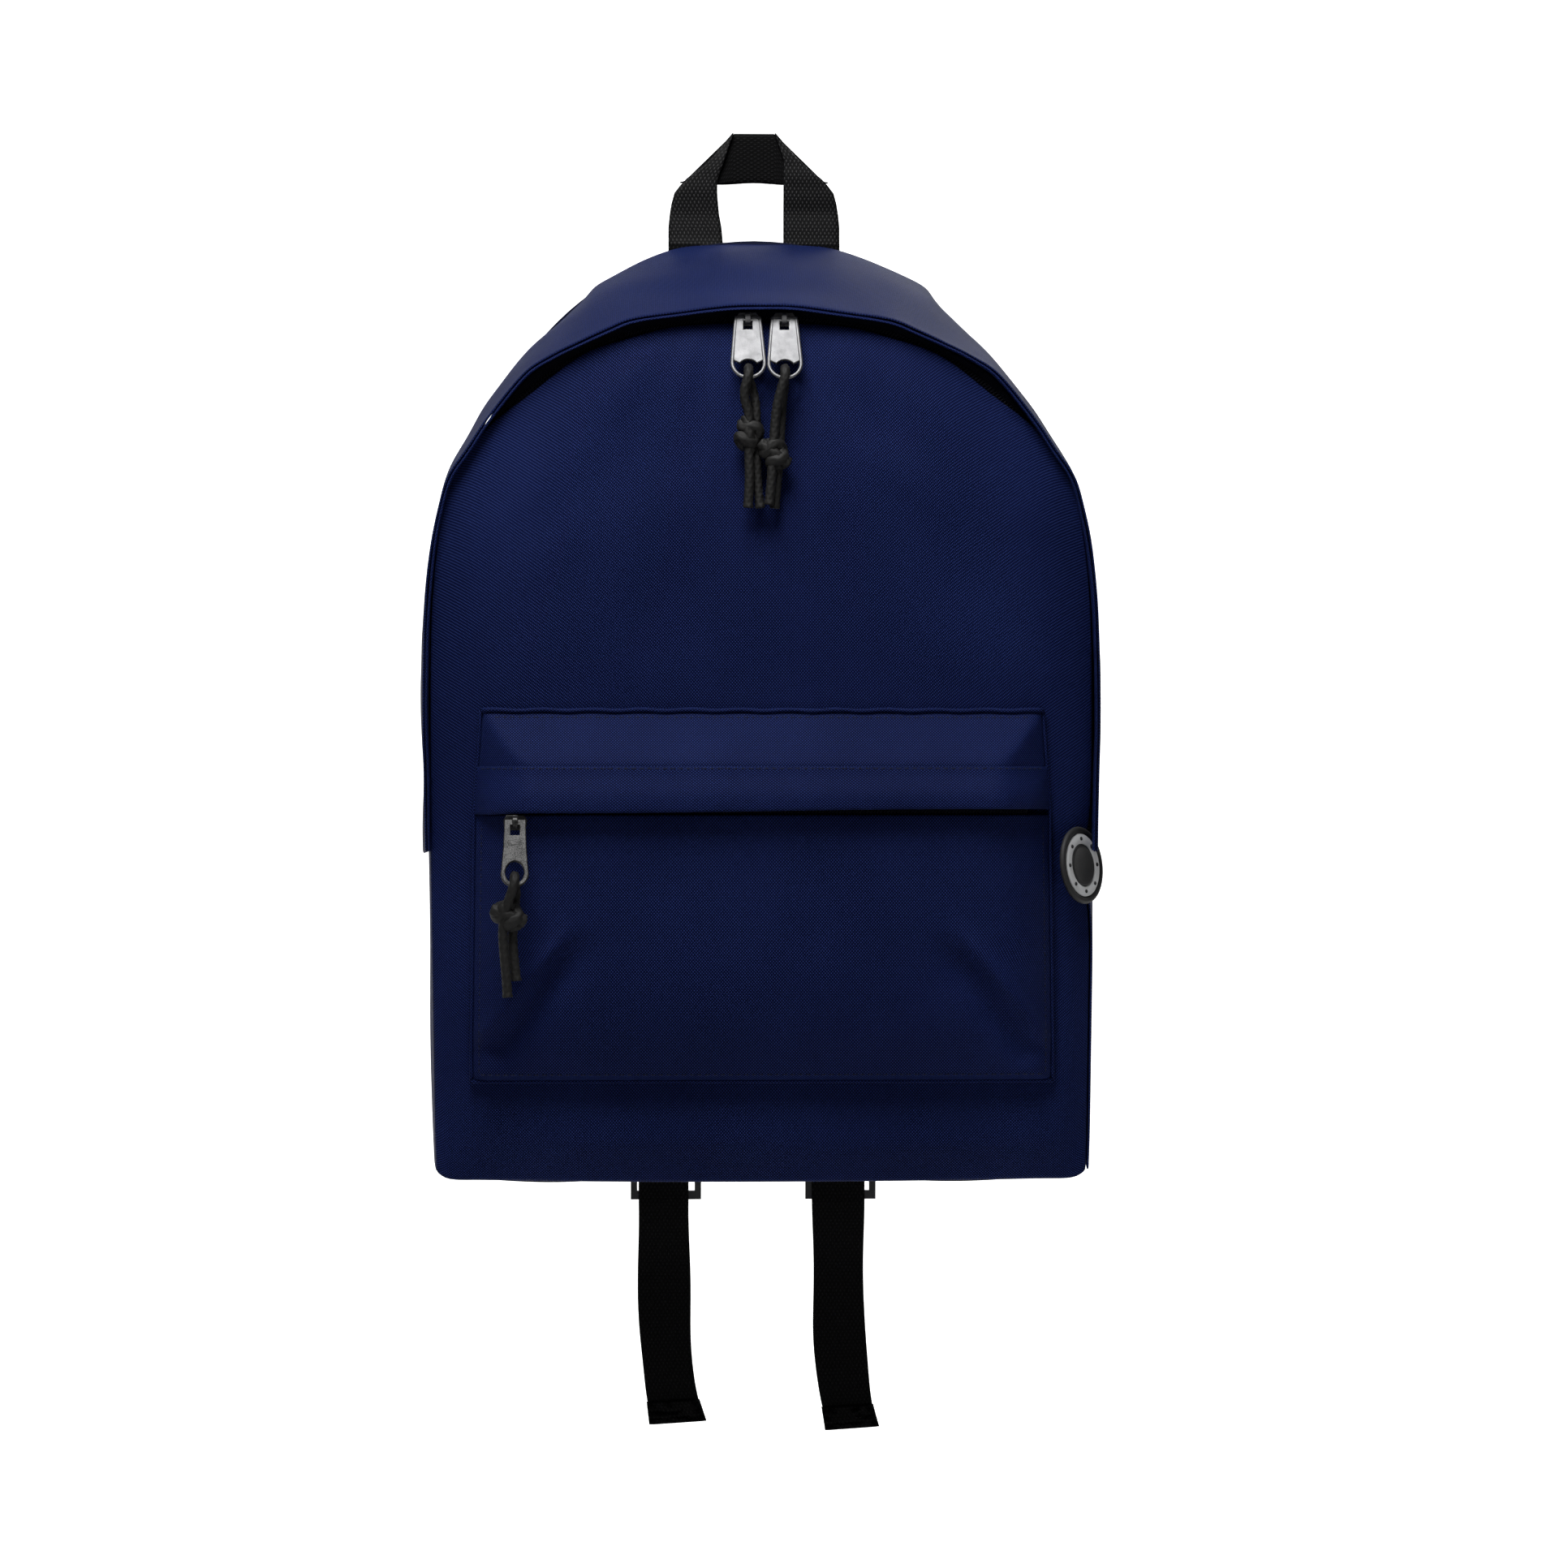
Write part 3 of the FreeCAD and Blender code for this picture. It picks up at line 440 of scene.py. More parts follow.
area_light("key light", (-0.15, -0.55, 0.62), (0, -0.1, -0.12), 15, 0.5)
area_light("front card", (0.0, -1.60, 1.10), (0, -0.1, -0.2), 0.7, 1.2)
area_light("left light", (-1.6, -1.7, 0.4), (0, -0.1, -0.3), 1.0, 0.8)
area_light("right light", (1.7, -1.5, 0.2), (0, -0.1, -0.3), 1.0, 0.8)
area_light("back light", (0.6, 1.1, 0.9), (0, 0, -0.3), 9, 0.8)
world = bpy.data.worlds.new("studio")
world.use_nodes = True
world.node_tree.nodes["Background"].inputs["Color"].default_value = (1, 1, 1, 1)
world.node_tree.nodes["Background"].inputs["Strength"].default_value = 0.03
bpy.context.scene.world = world

# The paper glows behind the bag only, so that nothing lights the front from below.
white = Finish("white paper", Roughness=0.9, Emission_Strength=1.0)
grain = white.noise(3.0, 1.0, white.here())
white.feed(Base_Color=white.blend(grain, rgb(0.9, 0.9, 0.9), rgb(0.94, 0.94, 0.94)))
forward = white.split(white.here())[1]
white.feed(Emission_Color=white.blend((forward * 5.0 + 0.3).clip(), rgb(0.0, 0.0, 0.0), rgb(1, 1, 1)))
FLOOR_Z = -0.66
SWEEP_BACK = 3.4
sweep = [Vector((0, -3.2, FLOOR_Z)), Vector((0, SWEEP_BACK - 0.5, FLOOR_Z))]
for step in range(1, 9):
    angle = math.radians(90 * step / 8)
    sweep.append(Vector((0, SWEEP_BACK - 0.5 + 0.5 * math.sin(angle),
                         FLOOR_Z + 0.5 * (1 - math.cos(angle)))))
sweep.append(Vector((0, SWEEP_BACK, 2.4)))
floor = grid_piece("floor", [[p + Vector((x, 0, 0)) for x in (-3.5, 0, 3.5)] for p in sweep])
floor.data.materials.append(white.material)
floor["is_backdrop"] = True

# %% [markdown]
# Each zip pull carries one length of braided cord, bent over the ring and tied in an overhand
# knot. The route's points are the ones the CAD tube follows, taken from the ring of the pull;
# a NURBS curve through them is the centreline, and the braid is modelled on a tube round it.

# %% Cords and knots
MM = 0.001
CORD_THICK = 0.0042
BEND_OVER_RING = [(0, -5.3, -3.4), (0, -3.9, -1.2), (0, -1.4, 0.1), (0, 1.1, 0.1), (0, 3.1, -1.0),
                  (0, 4.2, -3.2)]
CORD_ROUTES = {
    "left": [(-0.3, -2.9, -61.5), (0.5, -2.9, -50), (0.2, -2.9, -40), (0, -2.9, -30),
             (0.3, -3.2, -20), (-1.8, -4.2, -14.5), (-2.0, -5.1, -9.4)] + BEND_OVER_RING
            + [(1.4, 3.8, -7.6), (2.9, 2.0, -13), (3.4, 0.4, -20), (3.5, 0, -30), (3.6, -0.1, -40),
               (3.8, -0.2, -50), (5.1, -1, -61.5)],
    "right": [(-7.2, -3.4, -60), (-6.2, -3.4, -51), (-5.8, -3.4, -42), (-5.2, -3.4, -33),
              (-4.6, -3.3, -25), (-3.8, -3.9, -17), (-2.0, -5.0, -9.6)] + BEND_OVER_RING
             + [(-0.2, 4.0, -8), (-1.2, 2.2, -15), (-1.8, 0.4, -24), (-2.2, 0, -33), (-2.8, 0, -42),
                (-3.6, 0.2, -51), (-4.6, 0.3, -61.5)],
    "pocket": [(-3.0, -0.8, -52.5), (-3.6, -0.8, -43), (-4.6, -0.8, -33), (-5.2, -1.0, -24),
               (-4.4, -2.4, -16), (-2.2, -4.6, -9.6)] + BEND_OVER_RING
              + [(0.6, 4.2, -7.4), (0, 2.8, -13), (-0.8, 1.6, -20), (-0.9, 1.4, -28), (-0.3, 1.2, -36),
                 (0.8, 0.9, -45.5)],
}


def joint_place(name):
    return Vector([j for j in frame["joints"] if j["name"] == name][0]["pos_m"])


def centreline(name, points):
    """Even points read from a NURBS curve whose control points are the route's."""
    curve = bpy.data.curves.new(name, "CURVE")
    curve.dimensions = "3D"
    curve.resolution_u = 10
    spline = curve.splines.new("NURBS")
    spline.points.add(len(points) - 1)
    for control, point in zip(spline.points, points):
        control.co = (*point, 1.0)
    spline.order_u = 3
    spline.use_endpoint_u = True
    holder = bpy.data.objects.new(name, curve)
    bpy.context.scene.collection.objects.link(holder)
    bpy.context.view_layer.update()
    mesh = bpy.data.meshes.new_from_object(holder)
    fine = [v.co.copy() for v in mesh.vertices]
    bpy.data.meshes.remove(mesh)
    bpy.data.objects.remove(holder)
    bpy.data.curves.remove(curve)
    return fine


def braided(name, fine, radius, closed=False, step=0.00042):
    """Tube along a line with crossing braid strands raised on its surface."""
    around, strands, pitch = 28, 5, 0.0042
    total = sum((b - a).length for a, b in zip(fine, fine[1:]))
    count = max(12, int(total / step))
    spine = evenly(fine, count)
    rows = []
    side = None
    for index, point in enumerate(spine):
        ahead = spine[(index + 1) % count] if closed else spine[min(index + 1, count - 1)]
        behind = spine[index - 1] if closed or index else point
        tangent = (ahead - behind).normalized()
        if side is None:
            side = tangent.orthogonal().normalized()
        side = (side - tangent * side.dot(tangent)).normalized()
        up = tangent.cross(side)
        travel = total * index / (count - 1)
        near_end = 1.0 if closed else min(index, count - 1 - index) * step
        flare = 1.0 if closed else 1 + 0.10 * hill(near_end, 0.0016)
        row = []
        for turn in range(around):
            angle = 2 * math.pi * turn / around
            lead = math.sin(strands * angle + 2 * math.pi * travel / pitch)
            counter = math.sin(strands * angle - 2 * math.pi * travel / pitch)
            bulge = 1 + 0.075 * max(lead, counter) - 0.03
            row.append(point + (side * math.cos(angle) + up * math.sin(angle)) * radius * bulge * flare)
        rows.append(row)
    if closed:
        rows.append(rows[0])
    piece = grid_piece(name, rows, closed=True)
    if not closed:
        add_caps(piece, around, count)
    return piece, spine


def add_caps(piece, around, count):
    """Close both cut ends of a tube with a flat cap."""
    shape = bmesh.new()
    shape.from_mesh(piece.data)
    shape.verts.ensure_lookup_table()
    for start, flip in ((0, True), ((count - 1) * around, False)):
        ring = [shape.verts[start + i] for i in range(around)]
        shape.faces.new(reversed(ring) if flip else ring)
    bmesh.ops.recalc_face_normals(shape, faces=shape.faces)
    shape.to_mesh(piece.data)
    shape.free()
    piece.data.shade_smooth()


def overhand(name, middle, half, lean):
    """Knot of the two strands: a wrap that goes round twice, and one strand that crosses over it."""
    radius = CORD_THICK / 2
    turned = Matrix.Rotation(lean, 3, "Y")
    fine = []
    for step in range(241):
        t = 2 * math.pi * step / 240
        wrap = 1 + 0.18 * math.cos(3 * t)
        loop = Vector((
            (half.x - radius) * math.cos(2 * t) * wrap,
            -(half.y - radius) * math.sin(2 * t) * wrap * 0.95,
            (half.z - radius) * (0.72 * math.sin(t) + 0.34 * math.sin(3 * t + 0.7)),
        ))
        fine.append(middle + turned @ loop)
    wrapped = braided(name, fine, radius * 1.28, closed=True, step=0.0006)[0]
    core = []
    for step in range(25):
        share = step / 24
        bend = math.sin(math.pi * share)
        core.append(middle + turned @ Vector((half.x * 0.42 * (share - 0.5) * 2,
                                              -(half.y - radius) * 0.85 * bend,
                                              half.z * 0.86 * (0.5 - share) * 2)))
    crossing = braided(f"{name}_over", core, radius * 1.28, step=0.0006)[0]
    filling = [middle + turned @ Vector((0, 0, half.z * 0.6 * (1 - share / 6))) for share in range(13)]
    core_tube = braided(f"{name}_core", filling, radius * 1.45, step=0.0006)[0]
    return wrapped, crossing, core_tube


KNOT_LEANS = {"left": 0.25, "right": -0.6, "pocket": -0.9}
for side, route in CORD_ROUTES.items():
    ring = joint_place(f"sway_cord_{side}")
    fine = centreline(f"route_{side}", [ring + Vector(p) * MM for p in route])
    cord, spine = braided(f"braided_cord_{side}", fine, CORD_THICK / 2 * 0.97)
    dress(cord, CORD_BLACK, f"pull_cord_{side}", "cord_braid", f"cord_{side}")
    low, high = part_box(f"knot_{side}")
    wrapped, crossing, core_tube = overhand(f"overhand_knot_{side}", (low + high) / 2, (high - low) / 2,
                                            KNOT_LEANS[side])
    dress(wrapped, CORD_BLACK, f"pull_cord_{side}", "cord_braid", f"knot_{side}")
    dress(crossing, CORD_BLACK, f"pull_cord_{side}", "cord_braid")
    dress(core_tube, CORD_BLACK, f"pull_cord_{side}", "cord_braid")
    print("cord", side, "measures", round(sum((b - a).length for a, b in zip(spine, spine[1:])), 4))

# %% [markdown]
# The casing is three outlines joined by cloth: the back panel's seam, the front edge of the
# hood and the edge of the front panel. Each is given as half an outline, top to bottom, and
# the other half mirrors it. Panels are then stretched between the outlines and puffed.

# %% Outlines of the casing
CLOTH_THICK = 0.0012
BACK_SEAM_Y = -0.0045
HOOD_EDGE_Y = -0.1262
SEAM_Y = -0.1218
BASE_Z = -0.456
ZIP_END_Z = -0.310
BACK_TOP_HALF = [(0, -0.0292), (0.020, -0.0296), (0.041, -0.0325), (0.0756, -0.0466), (0.0836, -0.0548),
                 (0.0947, -0.0682), (0.1107, -0.0884), (0.124, -0.110), (0.134, -0.135),
                 (0.142, -0.170),
                 (0.1465, -0.215), (0.148, -0.26), (0.1475, ZIP_END_Z)]
HOOD_TOP_HALF = [(0, -0.0693), (0.015, -0.0696), (0.036, -0.0722), (0.057, -0.0752), (0.068, -0.0795),
                 (0.081, -0.0855), (0.093, -0.0915), (0.105, -0.0996), (0.1210, -0.1194),
                 (0.1297, -0.1325),
                 (0.1380, -0.1448), (0.1422, -0.159), (0.1457, -0.177), (0.1479, -0.200),
                 (0.1488, -0.231),
                 (0.1489, -0.256), (0.1484, -0.278), (0.1478, ZIP_END_Z)]
FRONT_ARCH_HALF = [(0, -0.0755), (0.036, -0.0770), (0.057, -0.0820), (0.079, -0.0896), (0.102, -0.107),
                   (0.122, -0.123), (0.138, -0.146)]
FRONT_SIDE = [(0.138, -0.146), (0.1425, -0.166), (0.1460, -0.200), (0.1468, -0.240), (0.1466, -0.300),
              (0.1460, -0.340), (0.1452, -0.390), (0.1446, -0.430), (0.1440, -0.4515)]
FRONT_FOOT_HALF = [(0, -0.4563), (0.070, -0.4560), (0.120, -0.4552), (0.138, -0.4548),
                   (0.1440, -0.4515)]
BACK_FOOT_HALF = [(0, -0.456), (0.07, -0.456), (0.125, -0.4555), (0.140, -0.453), (0.1455, -0.447)]
LOWER_BACK_SIDE = [(0.1475, ZIP_END_Z), (0.147, -0.36), (0.1465, -0.42), (0.1455, -0.447)]


def at_depth(points, y):
    return [Vector((x, y, z)) for x, z in points]


def mirrored(points):
    """Whole outline from left to right out of its right half, which starts at the top."""
    return [Vector((-p.x, p.y, p.z)) for p in reversed(points[1:])] + list(points)


def flipped(points):
    return [Vector((-p.x, p.y, p.z)) for p in points]


def slumped(points):
    """The left shoulder has sunk inward a little further than the right one."""
    return [Vector((p.x + (0.006 * hill(p.x + 0.078, 0.022) if p.x < 0 else 0.0), p.y, p.z))
            for p in points]


# %% [markdown]
# The hood is one band of cloth from the back seam forward over the zip. Held only at its
# seams, it sags a little between them and puckers where it turns down at the shoulders.

# %% Hood and its rain flap
HOOD_COLUMNS = 241
back_line = slumped(through(mirrored(at_depth(BACK_TOP_HALF, BACK_SEAM_Y)), HOOD_COLUMNS))
front_line = through(mirrored(at_depth(HOOD_TOP_HALF, HOOD_EDGE_Y)), HOOD_COLUMNS)
CREST = Vector((0, -0.065, -0.24))
STITCH_SHARE = 0.935


def to_middle(point):
    """Direction from a place on the arch towards the middle of the bag."""
    return Vector((-point.x, 0, CREST.z - point.z)).normalized()


def hood_point(column, share, lift=0.0):
    point = back_line[column].lerp(front_line[column], share)
    outward = Vector((point.x - CREST.x, 0, point.z - CREST.z)).normalized()
    round_top = 0.0035 * math.sin(math.pi * clamp(share * 1.02))
    fold = swell(0.0016, point.x * 16, point.y * 11, point.z * 16)
    fine = swell(0.0007, point.x * 50, point.y * 24, point.z * 50)
    held = math.sin(math.pi * share) ** 0.5 if 0 < share < 1 else 0.0
    # The zip's sliders push the edge of the hood a little forward at the middle of the arch.
    over_sliders = hill(point.x - 0.002, 0.030) * hill(point.z + 0.0693, 0.03) * ease((share - 0.8) * 5)
    return point + outward * (round_top + (fold + fine) * held + lift) + Vector((0,
            -0.0030 * over_sliders, 0))


hood_shares = [0.0, 0.02, 0.05] + [0.05 + 0.95 * i / 26 for i in range(1, 27)]
hood = grid_piece("hood_cloth", [[hood_point(c, s) for c in range(HOOD_COLUMNS)] for s in hood_shares])
thicken(hood, CLOTH_THICK)
dress(hood, NAVY, "shell", "navy_cloth", "hood")


def lip_point(column, share, depth):
    """The doubled edge: share runs back under the hood, and depth is how far inside its face."""
    place = hood_point(column, 1.0 - share * 0.085)
    inward = to_middle(place)
    ripple = swell(0.0005, place.x * 30, 3.0, place.z * 30)
    return place + inward * (depth + ripple * (1 - share)) + Vector((0,
            -0.0009 * (1 - share) * math.sin(math.pi * clamp(depth / 0.0022)), 0))


lip_ring = [(1.0, 0.0010), (0.5, 0.0008), (0.12, 0.0004), (0.0, 0.0002), (-0.02, 0.0005),
            (-0.025, 0.0008),
            (-0.02, 0.0011), (0.0, 0.0014), (0.12, 0.0016), (0.5, 0.0017), (1.0, 0.0018)]
lip_rows = [[lip_point(column, share, depth) for share, depth in lip_ring]
            for column in range(HOOD_COLUMNS)]
lip = grid_piece("rain_flap_cloth", lip_rows, closed=True)
soften(lip)
dress(lip, NAVY, "shell", "navy_cloth", "main_rain_flap")
print("hood and flap made from", HOOD_COLUMNS, "columns")

# %% [markdown]
# The front panel fills the arch. A patch stretched between its four edges gives an even grid
# with no pinched corner, and its depth comes from how far each point lies inside the edge.

# %% Front panel
FRONT_BULGE = 0.0096
front_arch = through(mirrored(at_depth(FRONT_ARCH_HALF, SEAM_Y)), 121)
front_foot = through(mirrored(at_depth(FRONT_FOOT_HALF, SEAM_Y)), 121)
right_edge = list(reversed(through(at_depth(FRONT_SIDE, SEAM_Y), 121)))
left_edge = flipped(right_edge)
edge_profile = through(at_depth(FRONT_ARCH_HALF[:-1] + FRONT_SIDE, 0.0), 200)


def half_width(z):
    """Half the width of the front panel at a height."""
    for before, after in zip(edge_profile, edge_profile[1:]):
        if before.z >= z >= after.z:
            share = (before.z - z) / max(before.z - after.z, 1e-6)
            return mix(before.x, after.x, share)
    return edge_profile[-1].x if z < edge_profile[-1].z else 0.0


def arch_height(x):
    """Height of the arch's edge above a place across the bag."""
    x = abs(x)
    for before, after in zip(edge_profile, edge_profile[1:]):
        if before.x <= x <= after.x:
            return mix(before.z, after.z, (x - before.x) / max(after.x - before.x, 1e-6))
    return -0.20


SOFT_FOLDS = (
    # across, height, half across, half tall, lean, depth
    (-0.034, -0.098, 0.006, 0.022, -0.25, 0.0016), (0.039, -0.099, 0.006, 0.024, 0.3, 0.0018),
    (-0.060, -0.105, 0.007, 0.020, -0.5, 0.0012), (0.068, -0.112, 0.009, 0.026, 0.6, 0.0014),
    (-0.020, -0.115, 0.007, 0.030, -0.1, 0.0010), (0.022, -0.120, 0.008, 0.034, 0.15, 0.0012),
    (0.060, -0.140, 0.012, 0.040, 1.0, 0.0016), (-0.105, -0.150, 0.012, 0.040, -0.8, 0.0022),
    (0.112, -0.152, 0.012, 0.042, 0.85, 0.0022), (-0.070, -0.200, 0.020, 0.050, -0.5, 0.0014),
    (0.085, -0.215, 0.016, 0.050, 0.4, 0.0014), (0.0, -0.200, 0.030, 0.030, 0.0, 0.0010),
    (-0.137, -0.360, 0.006, 0.060, 0.05, 0.0014), (0.137, -0.380, 0.006, 0.060, -0.05, 0.0014),
    (-0.040, -0.438, 0.050, 0.007, 0.0, 0.0010), (0.070, -0.440, 0.050, 0.007, 0.05, 0.0012),
)


def folds(x, z):
    total = 0.0
    for across, height, half_across, half_tall, lean, depth in SOFT_FOLDS:
        dx = (x - across) * math.cos(lean) + (z - height) * math.sin(lean)
        dz = (z - height) * math.cos(lean) - (x - across) * math.sin(lean)
        total += depth * hill(dx, half_across) * hill(dz, half_tall)
    return total


def front_depth(x, z):
    side = half_width(z) - abs(x)
    top = arch_height(x) - z
    foot = z - BASE_Z
    round_off = rise(side, 0.040) * rise(top, 0.055) * rise(foot, 0.030, 2.0)
    waves = swell(0.0009, x * 11, 0.0, z * 9) + swell(0.0005, x * 34, 5.0, z * 26)
    # Close under the arch the cloth is held back, so that the hanging cords pass in front of it.
    below_arch = ease((top - 0.030) / 0.055)
    crumple = (folds(x, z) * 1.5 + waves - 0.0004) * min(1.0, round_off * 1.6)
    return FRONT_BULGE * round_off * mix(0.62, 1.0, below_arch) + crumple * mix(0.45, 1.0, below_arch)


def patch(across, up):
    """Point of the patch between the four edges, each share from 0 to 1."""
    columns = len(front_arch) - 1
    rows = len(right_edge) - 1
    i = round(across * columns)
    j = round(up * rows)
    sides = left_edge[j].lerp(right_edge[j], across)
    ends = front_foot[i].lerp(front_arch[i], up)
    foot = front_foot[0].lerp(front_foot[-1], across)
    head = front_arch[0].lerp(front_arch[-1], across)
    return sides + ends - foot.lerp(head, up)


BADGE_SEAT = Vector((0.1466, SEAM_Y, -0.316))
BADGE_FACING = Vector((0.809, -0.588, 0))


def press(point):
    """Flatten the front corner where the badge sits."""
    near = hill(point.z - BADGE_SEAT.z, 0.020) * hill(point.x - BADGE_SEAT.x,
            0.009) * hill(point.y - BADGE_SEAT.y, 0.009)
    return point - BADGE_FACING * 0.0036 * near


front_rows = []
for j in range(121):
    row = []
    for i in range(121):
        spot = patch(i / 120, j / 120)
        row.append(press(Vector((spot.x, SEAM_Y - front_depth(spot.x, spot.z), spot.z))))
    front_rows.append(row)
front = grid_piece("front_cloth", front_rows)
thicken(front, CLOTH_THICK)
dress(front, NAVY, "shell", "navy_cloth", "front_panel", "front_seam_band")

# %% [markdown]
# The zip lies in the gap between the hood and the front. Each half is a tape with a nylon
# coil along its inner edge, and the turns of the coil are real, because light catches them.

# %% Main zip
front_gap = through(mirrored(at_depth(FRONT_ARCH_HALF + FRONT_SIDE[1:4] + [(0.1466, ZIP_END_Z)],
                                      SEAM_Y)), HOOD_COLUMNS)


def chain_spot(column, share, y):
    """From the hood's edge at 0 to the front's edge at 1, at a depth."""
    start = hood_point(column, 0.955)
    start = start + to_middle(start) * 0.0026
    end = front_gap[column]
    inner = end + to_middle(end) * 0.0030
    spot = start.lerp(inner, share)
    return Vector((spot.x, y, spot.z))


def coil(name, spots, radius, pitch, body, slot, nodes):
    """A spring of nylon that follows a line of points."""
    total = sum((b - a).length for a, b in zip(spots, spots[1:]))
    turns = int(total / pitch)
    line = evenly(spots, turns * 8 + 1)
    rows = []
    for index, point in enumerate(line):
        ahead = line[min(index + 1, len(line) - 1)]
        behind = line[max(index - 1, 0)]
        tangent = (ahead - behind).normalized()
        side = tangent.cross(Vector((0, 1, 0))).normalized()
        angle = 2 * math.pi * index / 8
        centre = point + (side * math.cos(angle) + Vector((0, 1, 0)) * math.sin(angle)) * radius
        out = (side * math.cos(angle) + Vector((0, 1, 0)) * math.sin(angle))
        rows.append([centre + (out * math.cos(a) + tangent * math.sin(a)) * radius * 0.42
                     for a in circle_angles(5)])
    return dress(grid_piece(name, rows, closed=True), COIL_NYLON, body, slot, *nodes)


for half, start, stop, node in (("hood", -0.15, 0.505, "zip_tape_hood"),
                                ("front", 0.495, 1.3, "zip_tape_front")):
    tape = grid_piece(f"zip_tape_cloth_{half}",
                      [[chain_spot(c, mix(start, stop, r / 3), -0.1192) for c in range(HOOD_COLUMNS)]
                       for r in range(4)])
    thicken(tape, 0.0006, smooth=False)
    dress(tape, ZIP_TAPE, "shell", "zip_tape", node)
for half, share, node in (("hood", 0.44, "zip_coil_hood"), ("front", 0.56, "zip_coil_front")):
    coil(f"zip_coil_turns_{half}", [chain_spot(c, share, -0.1200) for c in range(HOOD_COLUMNS)], 0.0006,
         0.0015, "shell", "zip_coil", (node,))

# %% [markdown]
# Below the zip the gusset is plain: two sides and a base, cut as bands between the back seam
# and the front seam. A filled bag pushes them outward, so each band is crowned across.

# %% Sides and base


def band(name, back, fore, crown, direction, node):
    count = len(back)
    rows = []
    for j in range(25):
        share = j / 24
        row = []
        for i in range(count):
            point = back[i].lerp(fore[i], share)
            wave = swell(0.0008, point.x * 20, point.y * 14, point.z * 14)
            held = math.sin(math.pi * share)
            row.append(press(point + direction * (crown * max(held, 0.0) ** 0.8 + wave * held)))
        rows.append(row)
    piece = grid_piece(name, rows)
    thicken(piece, CLOTH_THICK)
    return dress(piece, NAVY, "shell", "navy_cloth", node)


back_side = through(at_depth(LOWER_BACK_SIDE, BACK_SEAM_Y), 61)
low_front = evenly([p for p in reversed(right_edge) if p.z < -0.300], 61)
for side, sign, node in (("left", -1, "side_panel_left"), ("right", 1, "side_panel_right")):
    back_row = back_side if sign > 0 else flipped(back_side)
    fore_row = low_front if sign > 0 else flipped(low_front)
    band(f"side_cloth_{side}", back_row, fore_row, 0.0022, Vector((sign, 0, 0)), node)
back_foot = through(mirrored(at_depth(BACK_FOOT_HALF, BACK_SEAM_Y)), 121)
band("base_cloth", back_foot, front_foot, 0.0016, Vector((0, 0, -1)), "base_panel")

# %% [markdown]
# The back panel is quilted: foam between the outer cloth and the lining, held by its seam, so
# it crowns towards the wearer.

# %% Back panel
back_arch = slumped(through(mirrored(at_depth(BACK_TOP_HALF[:9], 0.0)), 81))
back_low = through(mirrored(at_depth(BACK_FOOT_HALF, 0.0)), 81)
back_right = list(reversed(through(at_depth(BACK_TOP_HALF[8:] + LOWER_BACK_SIDE[1:], 0.0), 81)))
back_left = slumped(flipped(back_right))
back_rows = []
for j in range(81):
    row = []
    for i in range(81):
        across, up = i / 80, j / 80
        spot = (back_left[j].lerp(back_right[j], across) + back_low[i].lerp(back_arch[i], up)
                - back_low[0].lerp(back_low[-1], across).lerp(back_arch[0].lerp(back_arch[-1], across),
                        up))
        inside = rise(min(across, 1 - across) * 2, 0.18) * rise(min(up, 1 - up) * 2, 0.12)
        puff = 0.0032 * inside + 0.0006 * noise.noise(spot * 22) * inside
        row.append(Vector((spot.x, BACK_SEAM_Y + 0.0012 + puff, spot.z)))
    back_rows.append(list(reversed(row)))
back = grid_piece("back_cloth", back_rows)
thicken(back, CLOTH_THICK)
dress(back, NAVY, "shell", "back_cloth", "back_outer")

# %% [markdown]
# The pocket is a bellows: a face that stands 20 mm proud, with its spare cloth folded into
# the lower corners. One depth function makes it, so face, sides and pleats stay one cloth.

# %% Front pocket
POCKET_TOP_Z = -0.2476
STITCH_Z = -0.2722
POCKET_FOOT_Z = -0.4110
POCKET_DEEP = 0.0200
PANEL_TOP_Z = -0.2935
POCKET_BACK_Y = -0.1310


def pocket_half(z):
    above = clamp((POCKET_TOP_Z - z) / 0.044)
    return mix(0.1240, 0.1270, above) + 0.0012 * clamp((-0.2916 - z) / 0.10)


PLEAT_FOOT = Vector((0.1282, 0, -0.3985))
PLEAT_HEAD = Vector((0.0890, 0, -0.3500))


def pleat(x, z):
    """Ridge and valley of the folded corner, on either side."""
    point = Vector((abs(x), 0, z))
    line = PLEAT_HEAD - PLEAT_FOOT
    share = (point - PLEAT_FOOT).dot(line) / line.length_squared
    off = (point - PLEAT_FOOT).cross(line.normalized()).y
    fade = ease(clamp(share * 6)) * ease(clamp((1.25 - share) * 2.2))
    return (0.0038 * hill(off + 0.001, 0.0042) - 0.0050 * hill(off - 0.0085, 0.0075)) * fade


def pocket_depth(x, z):
    side = pocket_half(z) - abs(x)
    foot = z - POCKET_FOOT_Z
    top = POCKET_TOP_Z - z
    below = ease(top / 0.075)
    from_side = rise(side, mix(0.0205, 0.036, below), mix(1.15, 2.0, below))
    from_foot = 0.30 * rise(foot, 0.004, 2.0) + 0.70 * rise(foot - 0.002, 0.052, 1.7)
    from_top = 0.06 + 0.94 * clamp(top / (POCKET_TOP_Z - STITCH_Z)) ** 1.05
    sharp = mix(18.0, 7.0, below)
    least = -math.log(sum(math.exp(-sharp * v) for v in (from_side, from_foot,
            from_top))) / sharp + 0.4 / sharp
    depth = POCKET_DEEP * clamp(least, 0.0, 1.0)
    waves = swell(0.0008, x * 14, 9.0, z * 16) + swell(0.0004, x * 40, 2.0, z * 40)
    return depth + (pleat(x, z) + waves) * clamp(depth / 0.006)


def pocket_surface(x, z):
    return POCKET_BACK_Y - pocket_depth(x, z)


